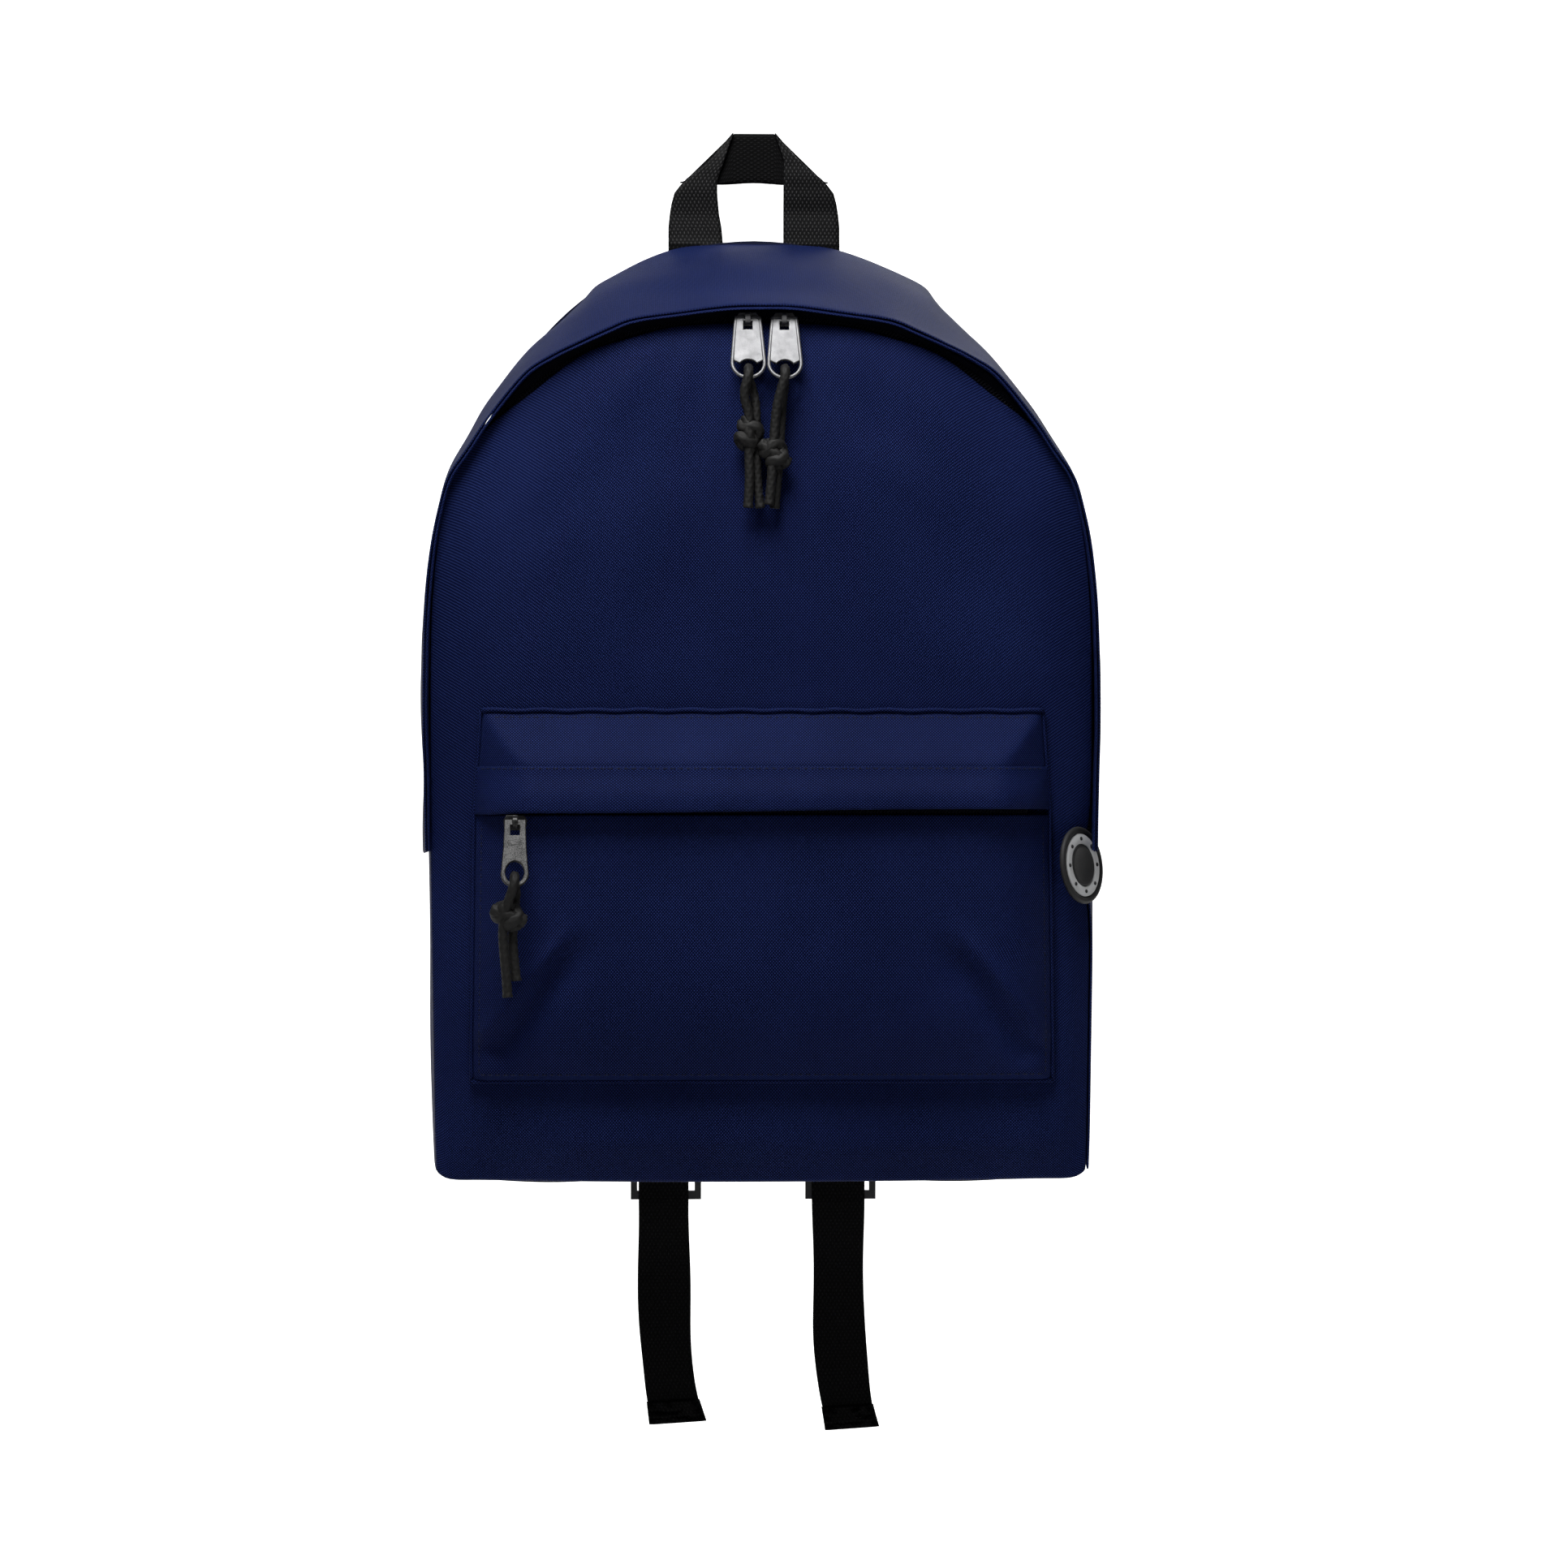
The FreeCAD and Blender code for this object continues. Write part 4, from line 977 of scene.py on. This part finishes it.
def pocket_grid(name, z_low, z_high, rows, node):
    grid = []
    for j in range(rows + 1):
        z = mix(z_low, z_high, j / rows)
        half = pocket_half(z)
        line = []
        for i in range(161):
            across = math.sin(math.pi / 2 * (i / 80 - 1)) * 0.5 + (i / 80 - 1) * 0.5
            x = across * half
            edge = 0.0 if 0 < i < 160 else 0.004
            line.append(Vector((x, pocket_surface(x, z) + edge, z)))
        grid.append(line)
    piece = grid_piece(name, grid)
    thicken(piece, 0.0011)
    return dress(piece, NAVY, "shell", "navy_cloth", node)


pocket_grid("pocket_cloth", POCKET_FOOT_Z, PANEL_TOP_Z, 90, "pocket_panel")
pocket_grid("pocket_top_cloth", STITCH_Z - 0.0138, POCKET_TOP_Z, 34, "pocket_top_panel")

POCKET_ZIP_HALF = 0.116
for half, z_far, z_near, z_coil in (("upper", -0.2862, -0.2926, -0.2922),
                                    ("lower", -0.2984, -0.2930, -0.2934)):
    tape = grid_piece(f"pocket_tape_cloth_{half}", [[Vector((x, pocket_surface(x, z) + 0.0020, z))
                      for x in [mix(-POCKET_ZIP_HALF, POCKET_ZIP_HALF, i / 120) for i in range(121)]]
                      for z in [mix(z_far, z_near, r / 3) for r in range(4)]])
    thicken(tape, 0.0006, smooth=False)
    dress(tape, ZIP_TAPE, "shell", "zip_tape", f"pocket_zip_tape_{half}")
    spots = [Vector((x, pocket_surface(x, z_coil) + 0.0013, z_coil))
             for x in [mix(-POCKET_ZIP_HALF, POCKET_ZIP_HALF, i / 80) for i in range(81)]]
    coil(f"pocket_coil_turns_{half}", spots, 0.0005, 0.0015, "shell", "zip_coil",
         (f"pocket_zip_coil_{half}",))

# %% [markdown]
# The pocket's rain flap is a doubled strip sewn along the stitch line. It lifts on that line,
# so it is a separate piece on its own body, with a rounded fold for its lower edge.

# %% Pocket rain flap
FLAP_FOOT_Z = -0.2922


def pocket_flap_point(across, share, inside):
    """Across the pocket from -1 to 1, and from the stitch line at 0 to the lower fold at 1."""
    z = mix(STITCH_Z, FLAP_FOOT_Z + 0.0009 * math.sin(across * 2.2) - 0.0011 * hill(across + 1, 0.12),
            share)
    x = across * (pocket_half(z) - 0.0002)
    reach = ease(share * 1.3)
    y = pocket_surface(x, mix(STITCH_Z, STITCH_Z - 0.006, share)) - 0.0012 - 0.0052 * reach * rise(1
            - abs(across), 0.07, 2.0)
    y -= swell(0.0005, x * 30, 1.0, z * 30) * share
    if inside:
        y += 0.0015
        z += 0.0003
    return Vector((x, y, z))


lid_rows = []
for i in range(161):
    ring = [(s / 7, False) for s in range(8)] + [(1.0, True), (0.7, True), (0.4, True), (0.0, True)]
    lid_rows.append([pocket_flap_point(mix(-1, 1, i / 160), share, inside) for share, inside in ring])
lid = grid_piece("pocket_flap_cloth", lid_rows, closed=True)
soften(lid)
dress(lid, NAVY, "pocket_flap_lid", "navy_cloth", "pocket_flap")

# %% [markdown]
# Seams: a raised welt runs round the pocket, and rows of stitches hold every edge. A stitch
# is a short bar half sunk in the cloth, repeated along a line by a loop.

# %% Welts and stitches


def welt(name, line, radius, body="shell"):
    """Piping along a line of points, slightly flattened against the cloth."""
    fine = evenly(line, max(24, int(len(line))))
    rows = []
    for index, point in enumerate(fine):
        ahead = fine[min(index + 1, len(fine) - 1)]
        behind = fine[max(index - 1, 0)]
        tangent = (ahead - behind).normalized()
        side = tangent.cross(Vector((0, 1, 0))).normalized()
        ring = []
        for turn in range(10):
            angle = 2 * math.pi * turn / 10
            wobble = 1 + 0.10 * noise.noise(point * 160)
            ring.append(point + (side * math.cos(angle) * 0.8 + Vector((0, 1, 0)) * math.sin(angle))
                        * radius * wobble)
        rows.append(ring)
    piece = grid_piece(name, rows, closed=True)
    add_caps(piece, 10, len(rows))
    return dress(piece, NAVY, body, "navy_cloth")


def stitches(name, line, body="shell", long=0.0024, gap=0.0010, thick=0.00028):
    """Row of stitches along points that already lie on the cloth."""
    total = sum((b - a).length for a, b in zip(line, line[1:]))
    count = max(2, int(total / (long + gap)))
    fine = evenly(line, count * 3 + 1)
    points = []
    faces = []
    for number in range(count):
        start, end = fine[number * 3], fine[number * 3 + 2]
        tangent = (end - start).normalized()
        side = tangent.orthogonal().normalized()
        up = tangent.cross(side)
        first = len(points)
        for share, scale in ((0.0, 0.35), (0.2, 1.0), (0.8, 1.0), (1.0, 0.35)):
            middle = start.lerp(end, share)
            for turn in range(6):
                angle = math.pi * turn / 3
                points.append(middle + (side * math.cos(angle) + up * math.sin(angle)) * thick * scale)
        for j in range(3):
            for i in range(6):
                after = (i + 1) % 6
                faces.append((first + j * 6 + i, first + j * 6 + after, first + j * 6 + 6 + after,
                              first + j * 6 + 6 + i))
        faces.append(tuple(first + i for i in reversed(range(6))))
        faces.append(tuple(first + 18 + i for i in range(6)))
    return dress(mesh_piece(name, points, faces), THREAD, body, "navy_cloth")


def on_pocket(x, z, lift=0.0):
    return Vector((x, pocket_surface(x, z) - lift, z))


welt("pocket_welt_top", [on_pocket(mix(-0.124, 0.1243, i / 80),
                                   POCKET_TOP_Z + 0.0003 * math.sin(i * 0.9), 0.0006)
                         for i in range(81)], 0.0013)
welt("pocket_welt_foot",
     [on_pocket(mix(-0.1282, 0.1282, i / 80), POCKET_FOOT_Z, 0.0005) for i in range(81)], 0.0011)
for side, sign in (("left", -1), ("right", 1)):
    edge = [Vector((sign * pocket_half(z), pocket_surface(0.2, z) + 0.0004, z))
            for z in [mix(POCKET_FOOT_Z, POCKET_TOP_Z, i / 60) for i in range(61)]]
    welt(f"pocket_welt_{side}", edge, 0.0010)
    inner = [on_pocket(sign * (pocket_half(z) - 0.0035), z)
             for z in [mix(POCKET_FOOT_Z + 0.004, PANEL_TOP_Z - 0.004, i / 60) for i in range(61)]]
    stitches(f"pocket_stitches_{side}", inner)
stitches("pocket_stitches_top",
         [on_pocket(mix(-0.118, 0.118, i / 80), POCKET_TOP_Z - 0.003) for i in range(81)])
stitches("pocket_stitches_foot",
         [on_pocket(mix(-0.124, 0.124, i / 80), POCKET_FOOT_Z + 0.0032) for i in range(81)])
stitches("flap_stitches",
         [pocket_flap_point(mix(-0.985, 0.985, i / 80), 0.05, False) for i in range(81)],
         "pocket_flap_lid")
stitches("hood_stitches", [hood_point(c, STITCH_SHARE, -0.0001) for c in range(4, HOOD_COLUMNS - 4)])

# %% [markdown]
# The carry handle is one length of webbing. Its two ends are sewn flat to the back, so each
# leg faces front, and a folded mitre turns the webbing level, which brings its other face to
# the front along the top. That top band is given the darker strap webbing as painted shade,
# for the underside of the loop that lies in shadow.

# %% Carry handle
LEG_ROWS = [(-0.0460, 0.0400, 0.0146), (-0.036, 0.0400, 0.0146), (-0.0262, 0.0400, 0.0146),
            (-0.020, 0.0400, 0.0152), (-0.014, 0.0394, 0.0163), (-0.009, 0.0386, 0.0168),
            (-0.004, 0.0372, 0.0172), (-0.0005, 0.0345, 0.0172), (0.0027, 0.0315, 0.0168),
            (0.006, 0.0272, 0.0158),
            (0.0088, 0.0236, 0.0146), (0.0134, 0.0190, 0.0131), (0.018, 0.0152, 0.0116),
            (0.0215, 0.0122, 0.0104),
            (0.0238, 0.0102, 0.0096)]


def strip(name, rows, material, body, slot, nodes=()):
    """Doubled ribbon: each row holds its two edges, its thickness direction and its thickness."""
    columns = 15
    grid = []
    for left, right, out, thick in rows:
        face, reverse = [], []
        for i in range(columns):
            share = i / (columns - 1)
            edge = 0.55 + 0.45 * min(1.0, math.sin(math.pi * share) * 4)
            spot = left.lerp(right, share)
            face.append(spot + out * (thick / 2 * edge))
            reverse.append(spot - out * (thick / 2 * edge))
        grid.append(face + reverse[::-1])
    piece = grid_piece(name, grid, closed=True)
    add_caps(piece, 2 * columns, len(grid))
    return dress(piece, material, body, slot, *nodes)


def refine(rows, count):
    """Smooth rows of plain numbers to count rows."""
    picked = []
    for index in range(count):
        place = index / (count - 1) * (len(rows) - 1)
        low = min(int(place), len(rows) - 2)
        share = place - low
        picked.append(tuple(mix(a, b, share) for a, b in zip(rows[low], rows[low + 1])))
    return picked


FORWARD = Vector((0, -1, 0))
for side, sign in (("left", -1), ("right", 1)):
    rows = []
    for z, outer, inner in refine(LEG_ROWS, 80):
        lean = 0.0026 * ease((z + 0.02) / 0.03)
        wave = swell(0.0005, sign, z * 120, 0)
        y = 0.0006 - lean + wave
        rows.append((Vector((sign * outer, y, z)),
                     Vector((sign * (min(inner, 0.0137) if sign > 0 else inner), y - 0.0008, z)),
                     FORWARD, 0.0017))
    leg = strip(f"handle_leg_{side}", rows, BLACK_WEB, None, "black_webbing",
                ("handle_webbing",) if side == "left" else ())
    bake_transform(leg)
band_rows = []
for index in range(61):
    x = mix(-0.0345, 0.0345, index / 60)
    ceiling = min(0.0238, 0.0238 - (abs(x) - 0.0098) * 0.98) if abs(x) > 0.0098 else 0.0238
    floor_z = 0.0004 + 0.0004 * math.cos(x * 200)
    ceiling = max(ceiling, floor_z + 0.0006)
    # The band lies against the back of both legs, where it is sewn to them.
    y = -0.0006 + 0.0002 * math.cos(x * 90)
    band_rows.append((Vector((x, y + 0.0003, floor_z)), Vector((x, y, ceiling)), FORWARD, 0.0016))
# The top band's darker webbing is painted shade: it is the handle's own webbing, darkened where it
# faces down into shadow.
strip("handle_top_band", band_rows, STRAP_WEB_AND_BAND_SHADE, "carry_handle", "black_webbing")
frame["nodes"]["handle_ends"].data.materials.clear()
frame["nodes"]["handle_ends"].data.materials.append(WEB_ENDS)

# %% [markdown]
# Each shoulder strap is a padded band with bound edges. It hangs behind the bag, and its
# ladder lock holds the webbing whose tail shows below the base.

# %% Shoulder straps
STRAP_ROWS = 70


def strap_section(share):
    """Distance from the back, half width and thickness of a pad, at a share of its length."""
    bow = 0.012 * 4 * share * (1 - share)
    full = min(1.0, math.sin(math.pi * clamp(share, 0.02, 0.98)) * 3)
    inner = mix(0.0070, 0.0022, share) + bow
    half = mix(0.022, 0.0305, ease(share * 1.6))
    return inner, half, 0.0118 * mix(0.55, 1.0, full)


def strap_pad(side, sign):
    low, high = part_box(f"strap_pad_{side}")
    middle = (low.x + high.x) / 2
    top, foot = high.z, low.z
    rows = []
    for j in range(STRAP_ROWS + 1):
        share = j / STRAP_ROWS
        z = mix(foot, top, share)
        inner, half, thick = strap_section(share)
        ring = []
        for turn in range(36):
            angle = 2 * math.pi * turn / 36
            c, s = math.cos(angle), math.sin(angle)
            x = math.copysign(abs(c) ** 0.55, c) * half
            y = math.copysign(abs(s) ** 0.75, s) * thick / 2
            pinch = 1 - 0.35 * hill(abs(x) - half * 0.80, 0.0022)
            wave = swell(0.0005, x * 40 + sign * 9, z * 30, s)
            ring.append(Vector((middle + x, inner + thick / 2 + y * pinch + wave, z)))
        rows.append(ring)
    pad = grid_piece(f"strap_pad_cloth_{side}", rows, closed=True)
    add_caps(pad, 36, len(rows))
    soften(pad)
    dress(pad, NAVY, f"shoulder_strap_{side}", "strap_cloth", f"strap_pad_{side}")
    for edge in (-1, 1):
        line = []
        for j in range(STRAP_ROWS + 1):
            share = j / STRAP_ROWS
            inner, half, thick = strap_section(share)
            y = inner + thick / 2 + thick * 0.36
            line.append(Vector((middle + edge * half * 0.80, y, mix(foot, top, share))))
        stitches(f"strap_stitches_{side}_{'in' if edge * sign < 0 else 'out'}", line[2:-2],
                 f"shoulder_strap_{side}")


for side, sign in (("left", -1), ("right", 1)):
    strap_pad(side, sign)

# %% [markdown]
# The tails are plain webbing, cut square and folded into a hem. They hang straight for most
# of their length and curl a little sideways where the hem stiffens them.

# %% Strap tails and lower webbing
TAIL_SHAPE = [(-0.4520, 0.0), (-0.4750, 0.0), (-0.5010, 0.0002), (-0.5270, 0.0004), (-0.5400, 0.0008),
              (-0.5520, 0.0017),
              (-0.5640, 0.0030), (-0.5720, 0.0043), (-0.5835, 0.0067)]
for side, sign in (("left", -1), ("right", 1)):
    low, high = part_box(f"strap_tail_{side}")
    lock_low, lock_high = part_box(f"ladder_lock_{side}")
    middle = (low.x + high.x) / 2 - 0.0011
    shape = through([(middle + curl, 0, z) for z, curl in TAIL_SHAPE], 110)
    rows = []
    for spot in shape:
        drop = clamp((-0.476 - spot.z) / 0.107)
        half = 0.0121 + 0.0004 * math.sin(drop * 9 + sign * 2)
        tilt = 0.0012 * drop ** 3
        y = mix(lock_low.y - 0.0010, 0.0128, ease(drop * 3)) + 0.0015 * math.sin(drop * 3)
        foot = 0.003 * (sign < 0) * drop
        rows.append((Vector((spot.x - half, y, spot.z + foot - tilt * 0.2)),
                     Vector((spot.x + half, y + 0.001, spot.z + foot + tilt)), FORWARD, 0.0016))
    strip(f"tail_webbing_{side}", rows, STRAP_WEB_AND_BAND_SHADE, f"shoulder_strap_{side}", "black_webbing",
          (f"strap_tail_{side}",))
    hem_rows = []
    for j in range(16):
        left, right, out, thick = rows[round(mix(100, 109, j / 15))]
        grow = (right - left).normalized() * (0.0004 + 0.0007 * j / 15)
        hem_rows.append((left - grow, right + grow, out, 0.0040))
    strip(f"tail_hem_{side}", hem_rows, STRAP_WEB_AND_BAND_SHADE, f"shoulder_strap_{side}", "black_webbing")
    inner_x = middle + sign * 0.0125
    start = Vector((sign * 0.128, 0.0022, -0.4520))
    end = Vector((inner_x, (lock_low.y + lock_high.y) / 2, -0.4520))
    rows = []
    for j in range(50):
        share = j / 49
        spot = start.lerp(end, share)
        sag = 0.006 * math.sin(math.pi * share)
        wide = 0.0124
        spot = spot + Vector((0, 0.004 * math.sin(math.pi * share), -sag * 0.4))
        rows.append((spot + Vector((0, 0, wide)), spot - Vector((0, 0, wide)), Vector((0, 1, 0)),
                     0.0016))
    low_band = strip(f"lower_webbing_cloth_{side}", rows, STRAP_WEB_AND_BAND_SHADE, None, "black_webbing",
                     (f"lower_webbing_{side}",))
    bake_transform(low_band)

# %% [markdown]
# A pull is a tapered plate inside a wire frame. The frame runs down both edges of the plate
# and round the hole that holds the cord. The pocket's pull is a plain dark plate, dark partly
# from a gunmetal finish and partly as painted shade.

# %% Zip pulls


def flat_solid(name, outline, holes, thick, place, tilt, bevel=0.00022):
    """Plate with holes, from outlines in its own plane, put at a place and tilted."""
    curve = bpy.data.curves.new(name, "CURVE")
    curve.dimensions = "2D"
    curve.fill_mode = "BOTH"
    curve.extrude = thick / 2 - bevel
    curve.bevel_depth = bevel
    curve.bevel_resolution = 2
    for loop in [outline] + holes:
        spline = curve.splines.new("POLY")
        spline.points.add(len(loop) - 1)
        for control, (x, z) in zip(spline.points, loop):
            control.co = (x, z, 0, 1)
        spline.use_cyclic_u = True
    holder = bpy.data.objects.new(name, curve)
    bpy.context.scene.collection.objects.link(holder)
    bpy.context.view_layer.update()
    mesh = bpy.data.meshes.new_from_object(holder)
    bpy.data.objects.remove(holder)
    upright = Matrix.Rotation(math.pi / 2, 4, "X")
    stand = Matrix.Translation(place) @ Matrix.Rotation(-tilt, 4, "X") @ upright
    mesh.transform(stand)
    piece = bpy.data.objects.new(name, mesh)
    bpy.context.scene.collection.objects.link(piece)
    return piece


def circle(x, z, radius, count=40, start=0.0, sweep=2 * math.pi):
    last = count if sweep >= 2 * math.pi - 1e-6 else count - 1
    return [(x + radius * math.cos(start + sweep * i / last),
             z + radius * math.sin(start + sweep * i / last)) for i in range(count)]


def wire(name, loop, radius, place, tilt):
    stand = Matrix.Translation(place) @ Matrix.Rotation(-tilt, 4, "X")
    fine = [stand @ Vector((x, 0, z)) for x, z in loop]
    rows = []
    count = len(fine)
    normal = (stand.to_3x3() @ Vector((0, 1, 0))).normalized()
    for index, point in enumerate(fine):
        tangent = (fine[(index + 1) % count] - fine[index - 1]).normalized()
        side = tangent.cross(normal).normalized()
        rows.append([point + (side * math.cos(a) + normal * math.sin(a)) * radius
                     for a in circle_angles(12)])
    rows.append(rows[0])
    return grid_piece(name, rows, closed=True)


PULL_TILT = math.radians(24)
PULL_TOP = 0.0008
HOLE_Z = -0.0253
for side in ("left", "right", "pocket"):
    eye = joint_place(f"lift_pull_{side}")
    body = f"zip_pull_{side}"
    if side == "pocket":
        outline = [(-0.0042, PULL_TOP), (-0.0047, -0.012), (-0.0055, -0.0225)]
        outline += [(x * 0.98, z) for x, z in circle(0, HOLE_Z + 0.0010, 0.0058, 25, math.pi, math.pi)]
        outline += [(0.0055, -0.0225), (0.0047, -0.012), (0.0042, PULL_TOP)]
        window = [(-0.0024, -0.0012), (0.0024, -0.0012), (0.0024, -0.0066), (-0.0024, -0.0066)]
        hole = [(x * 0.0044, HOLE_Z + 0.0016 + z * 0.0056) for x, z in circle(0, 0, 1.0, 36)]
        plate = flat_solid("pull_plate_pocket", outline, [window, hole], 0.0017, eye, PULL_TILT, 0.0004)
        # The pull's dark metal is partly gunmetal and partly painted shade.
        dress(plate, DARK_METAL_AND_SHADE, body, "zip_metal", "pull_pocket")
        continue
    outline = [(-0.0046, PULL_TOP - 0.0012), (-0.0062, -0.0212)]
    outline += circle(0, HOLE_Z - 0.0004, 0.0050, 21, math.radians(140), -math.radians(100))
    outline += [(0.0062, -0.0212), (0.0046, PULL_TOP - 0.0012)]
    window = [(-0.0024, -0.0014), (0.0024, -0.0014), (0.0024, -0.0064), (-0.0024, -0.0064)]
    plate = flat_solid(f"pull_plate_{side}", outline, [window], 0.0015, eye, PULL_TILT, 0.0004)
    dress(plate, NICKEL, body, "zip_metal")
    loop = [(-0.0052, PULL_TOP - 0.0006), (-0.0058, -0.006), (-0.0064, -0.013), (-0.0070, -0.0205)]
    loop += circle(0, HOLE_Z + 0.0026, 0.0071, 33, math.pi, math.pi)
    loop += [(0.0070, -0.0205), (0.0064, -0.013), (0.0058, -0.006), (0.0052, PULL_TOP - 0.0006)]
    fine_loop = [(p.x, p.z) for p in evenly([Vector((x, 0, z)) for x, z in loop + loop[:1]], 121)][:-1]
    frame_wire = wire(f"pull_wire_{side}", fine_loop, 0.00078, eye, PULL_TILT)
    dress(frame_wire, NICKEL, body, "zip_metal", f"pull_{side}")

# %% [markdown]
# Each slider shows its front plate and the crown that the pull hangs from. Its upper end
# is under the rain flap, so the plate stops short of the flap's edge.

# %% Sliders
SLIDER_TOPS = {"left": -0.0707, "right": -0.0707, "pocket": -0.2931}
for side, slider_top in SLIDER_TOPS.items():
    # The pocket's slider takes the darker metal, which is partly gunmetal and partly painted shade.
    metal = DARK_METAL_AND_SHADE if side == "pocket" else NICKEL
    eye = joint_place(f"lift_pull_{side}")
    top, foot = slider_top - eye.z, -0.0030
    outline = [(-0.0036, top - 0.0008), (0.0036, top - 0.0008), (0.0048, top - 0.0026),
               (0.0046, foot + 0.0012), (0.0034, foot), (-0.0034, foot), (-0.0046, foot + 0.0012),
               (-0.0048, top - 0.0026)]
    plate = flat_solid(f"slider_plate_{side}", outline, [], 0.0012, eye + Vector((0, 0.0032, 0)), 0.0,
                       0.0003)
    dress(plate, metal, f"zip_slider_{side}", "zip_metal", f"slider_{side}")
    path = through([eye + Vector((0, y, z)) for y,
                    z in ((0.0028, 0.0025), (-0.0012, 0.0018), (-0.0018, 0), (-0.0012, -0.0018),
                          (0.0028, -0.0025))], 25)
    rows = []
    for index, spot in enumerate(path):
        tangent = (path[min(index + 1, 24)] - path[max(index - 1, 0)]).normalized()
        rows.append((spot - Vector((0.0012, 0, 0)), spot + Vector((0.0012, 0, 0)),
                     tangent.cross(Vector((1, 0, 0))), 0.0008))
    strip(f"slider_crown_{side}", rows, metal, f"zip_slider_{side}", "zip_metal")

# %% [markdown]
# The badge is moulded rubber in three levels: a black disc with a rolled rim, a pale ring
# with eight small studs, and a black centre.

# %% Badge
badge_low, badge_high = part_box("badge_base")
BADGE_TURN = math.radians(54)
BADGE_LEAN = math.radians(-6.5)
badge_place = Matrix.Translation((badge_low + badge_high) / 2)
badge_turned = Matrix.Rotation(BADGE_TURN, 4, "Z")
badge_stand = badge_place @ badge_turned @ Matrix.Rotation(BADGE_LEAN, 4, "X")


def turned_disc(name, profile, material, slot, nodes, count=72):
    """Surface of revolution about the badge's axis; profile is (radius, height)."""
    rows = []
    for radius, height in profile:
        rows.append([badge_stand @ Vector((radius * math.cos(a), -height, radius * math.sin(a)))
                     for a in circle_angles(count)])
    piece = grid_piece(name, rows, closed=True)
    add_caps(piece, count, len(rows))
    return dress(piece, material, "shell", slot, *nodes)


turned_disc("badge_disc", [(0.0150, -0.0009), (0.0168, -0.0007), (0.0172, 0.0002), (0.0168, 0.0013),
                           (0.0158, 0.0017),
                           (0.0149, 0.0014), (0.0143, 0.0008), (0.0080, 0.0008)], BLACK_RUBBER,
            "badge_rubber", ("badge_base",))
turned_disc("badge_pale_ring", [(0.0140, 0.0006), (0.0139, 0.0012), (0.0136, 0.0014), (0.0098, 0.0014),
                                (0.0095, 0.0012),
                                (0.0094, 0.0006)], PALE_RUBBER, "badge_print", ("badge_ring",))
turned_disc("badge_middle", [(0.0093, 0.0006), (0.0092, 0.0014), (0.0087, 0.0017), (0.0078, 0.0016),
                             (0.0074, 0.0012), (0.0008, 0.0013)],
            BLACK_RUBBER, "badge_rubber", ("badge_centre",))
studs_points = []
studs_faces = []
for number in range(8):
    angle = 2 * math.pi * number / 8
    first = len(studs_points)
    for radius, height in ((0.00085, 0.0012), (0.00085, 0.0017), (0.0006, 0.0019)):
        for i in range(12):
            a = 2 * math.pi * i / 12
            studs_points.append(badge_stand @ Vector((0.0117 * math.cos(angle) + radius * math.cos(a),
                    -height, 0.0117 * math.sin(angle) + radius * math.sin(a))))
    for j in range(2):
        for i in range(12):
            after = (i + 1) % 12
            studs_faces.append((first + j * 12 + i, first + j * 12 + after, first + j * 12 + 12 + after,
                                first + j * 12 + 12 + i))
    studs_faces.append(tuple(first + 24 + i for i in range(12)))
dress(mesh_piece("badge_studs", studs_points, studs_faces), BLACK_RUBBER, "shell", "badge_rubber")

# %% [markdown]
# What the CAD already shapes well keeps its mesh, and only takes a finish: locks, tabs, foam,
# lining and the yoke.

# %% Finishes of the CAD nodes
NODE_FINISHES = {
    BLACK_PLASTIC: ("ladder_lock_left", "ladder_lock_right"),
    FOAM: ("back_foam",),
    NAVY_INSIDE: ("back_lining", "zip_end_tab_left", "zip_end_tab_right", "yoke_patch",
                  "corner_tab_left", "corner_tab_right"),
    WEB_ENDS: ("handle_ends", "lock_holder_left", "lock_holder_right"),
}
for material, names in NODE_FINISHES.items():
    for name in names:
        mesh = frame["nodes"][name].data
        mesh.materials.clear()
        mesh.materials.append(material)

# %% Sizes, and the end
low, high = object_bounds()
print("the visual model spans", [round(v, 3) for v in (high - low)])
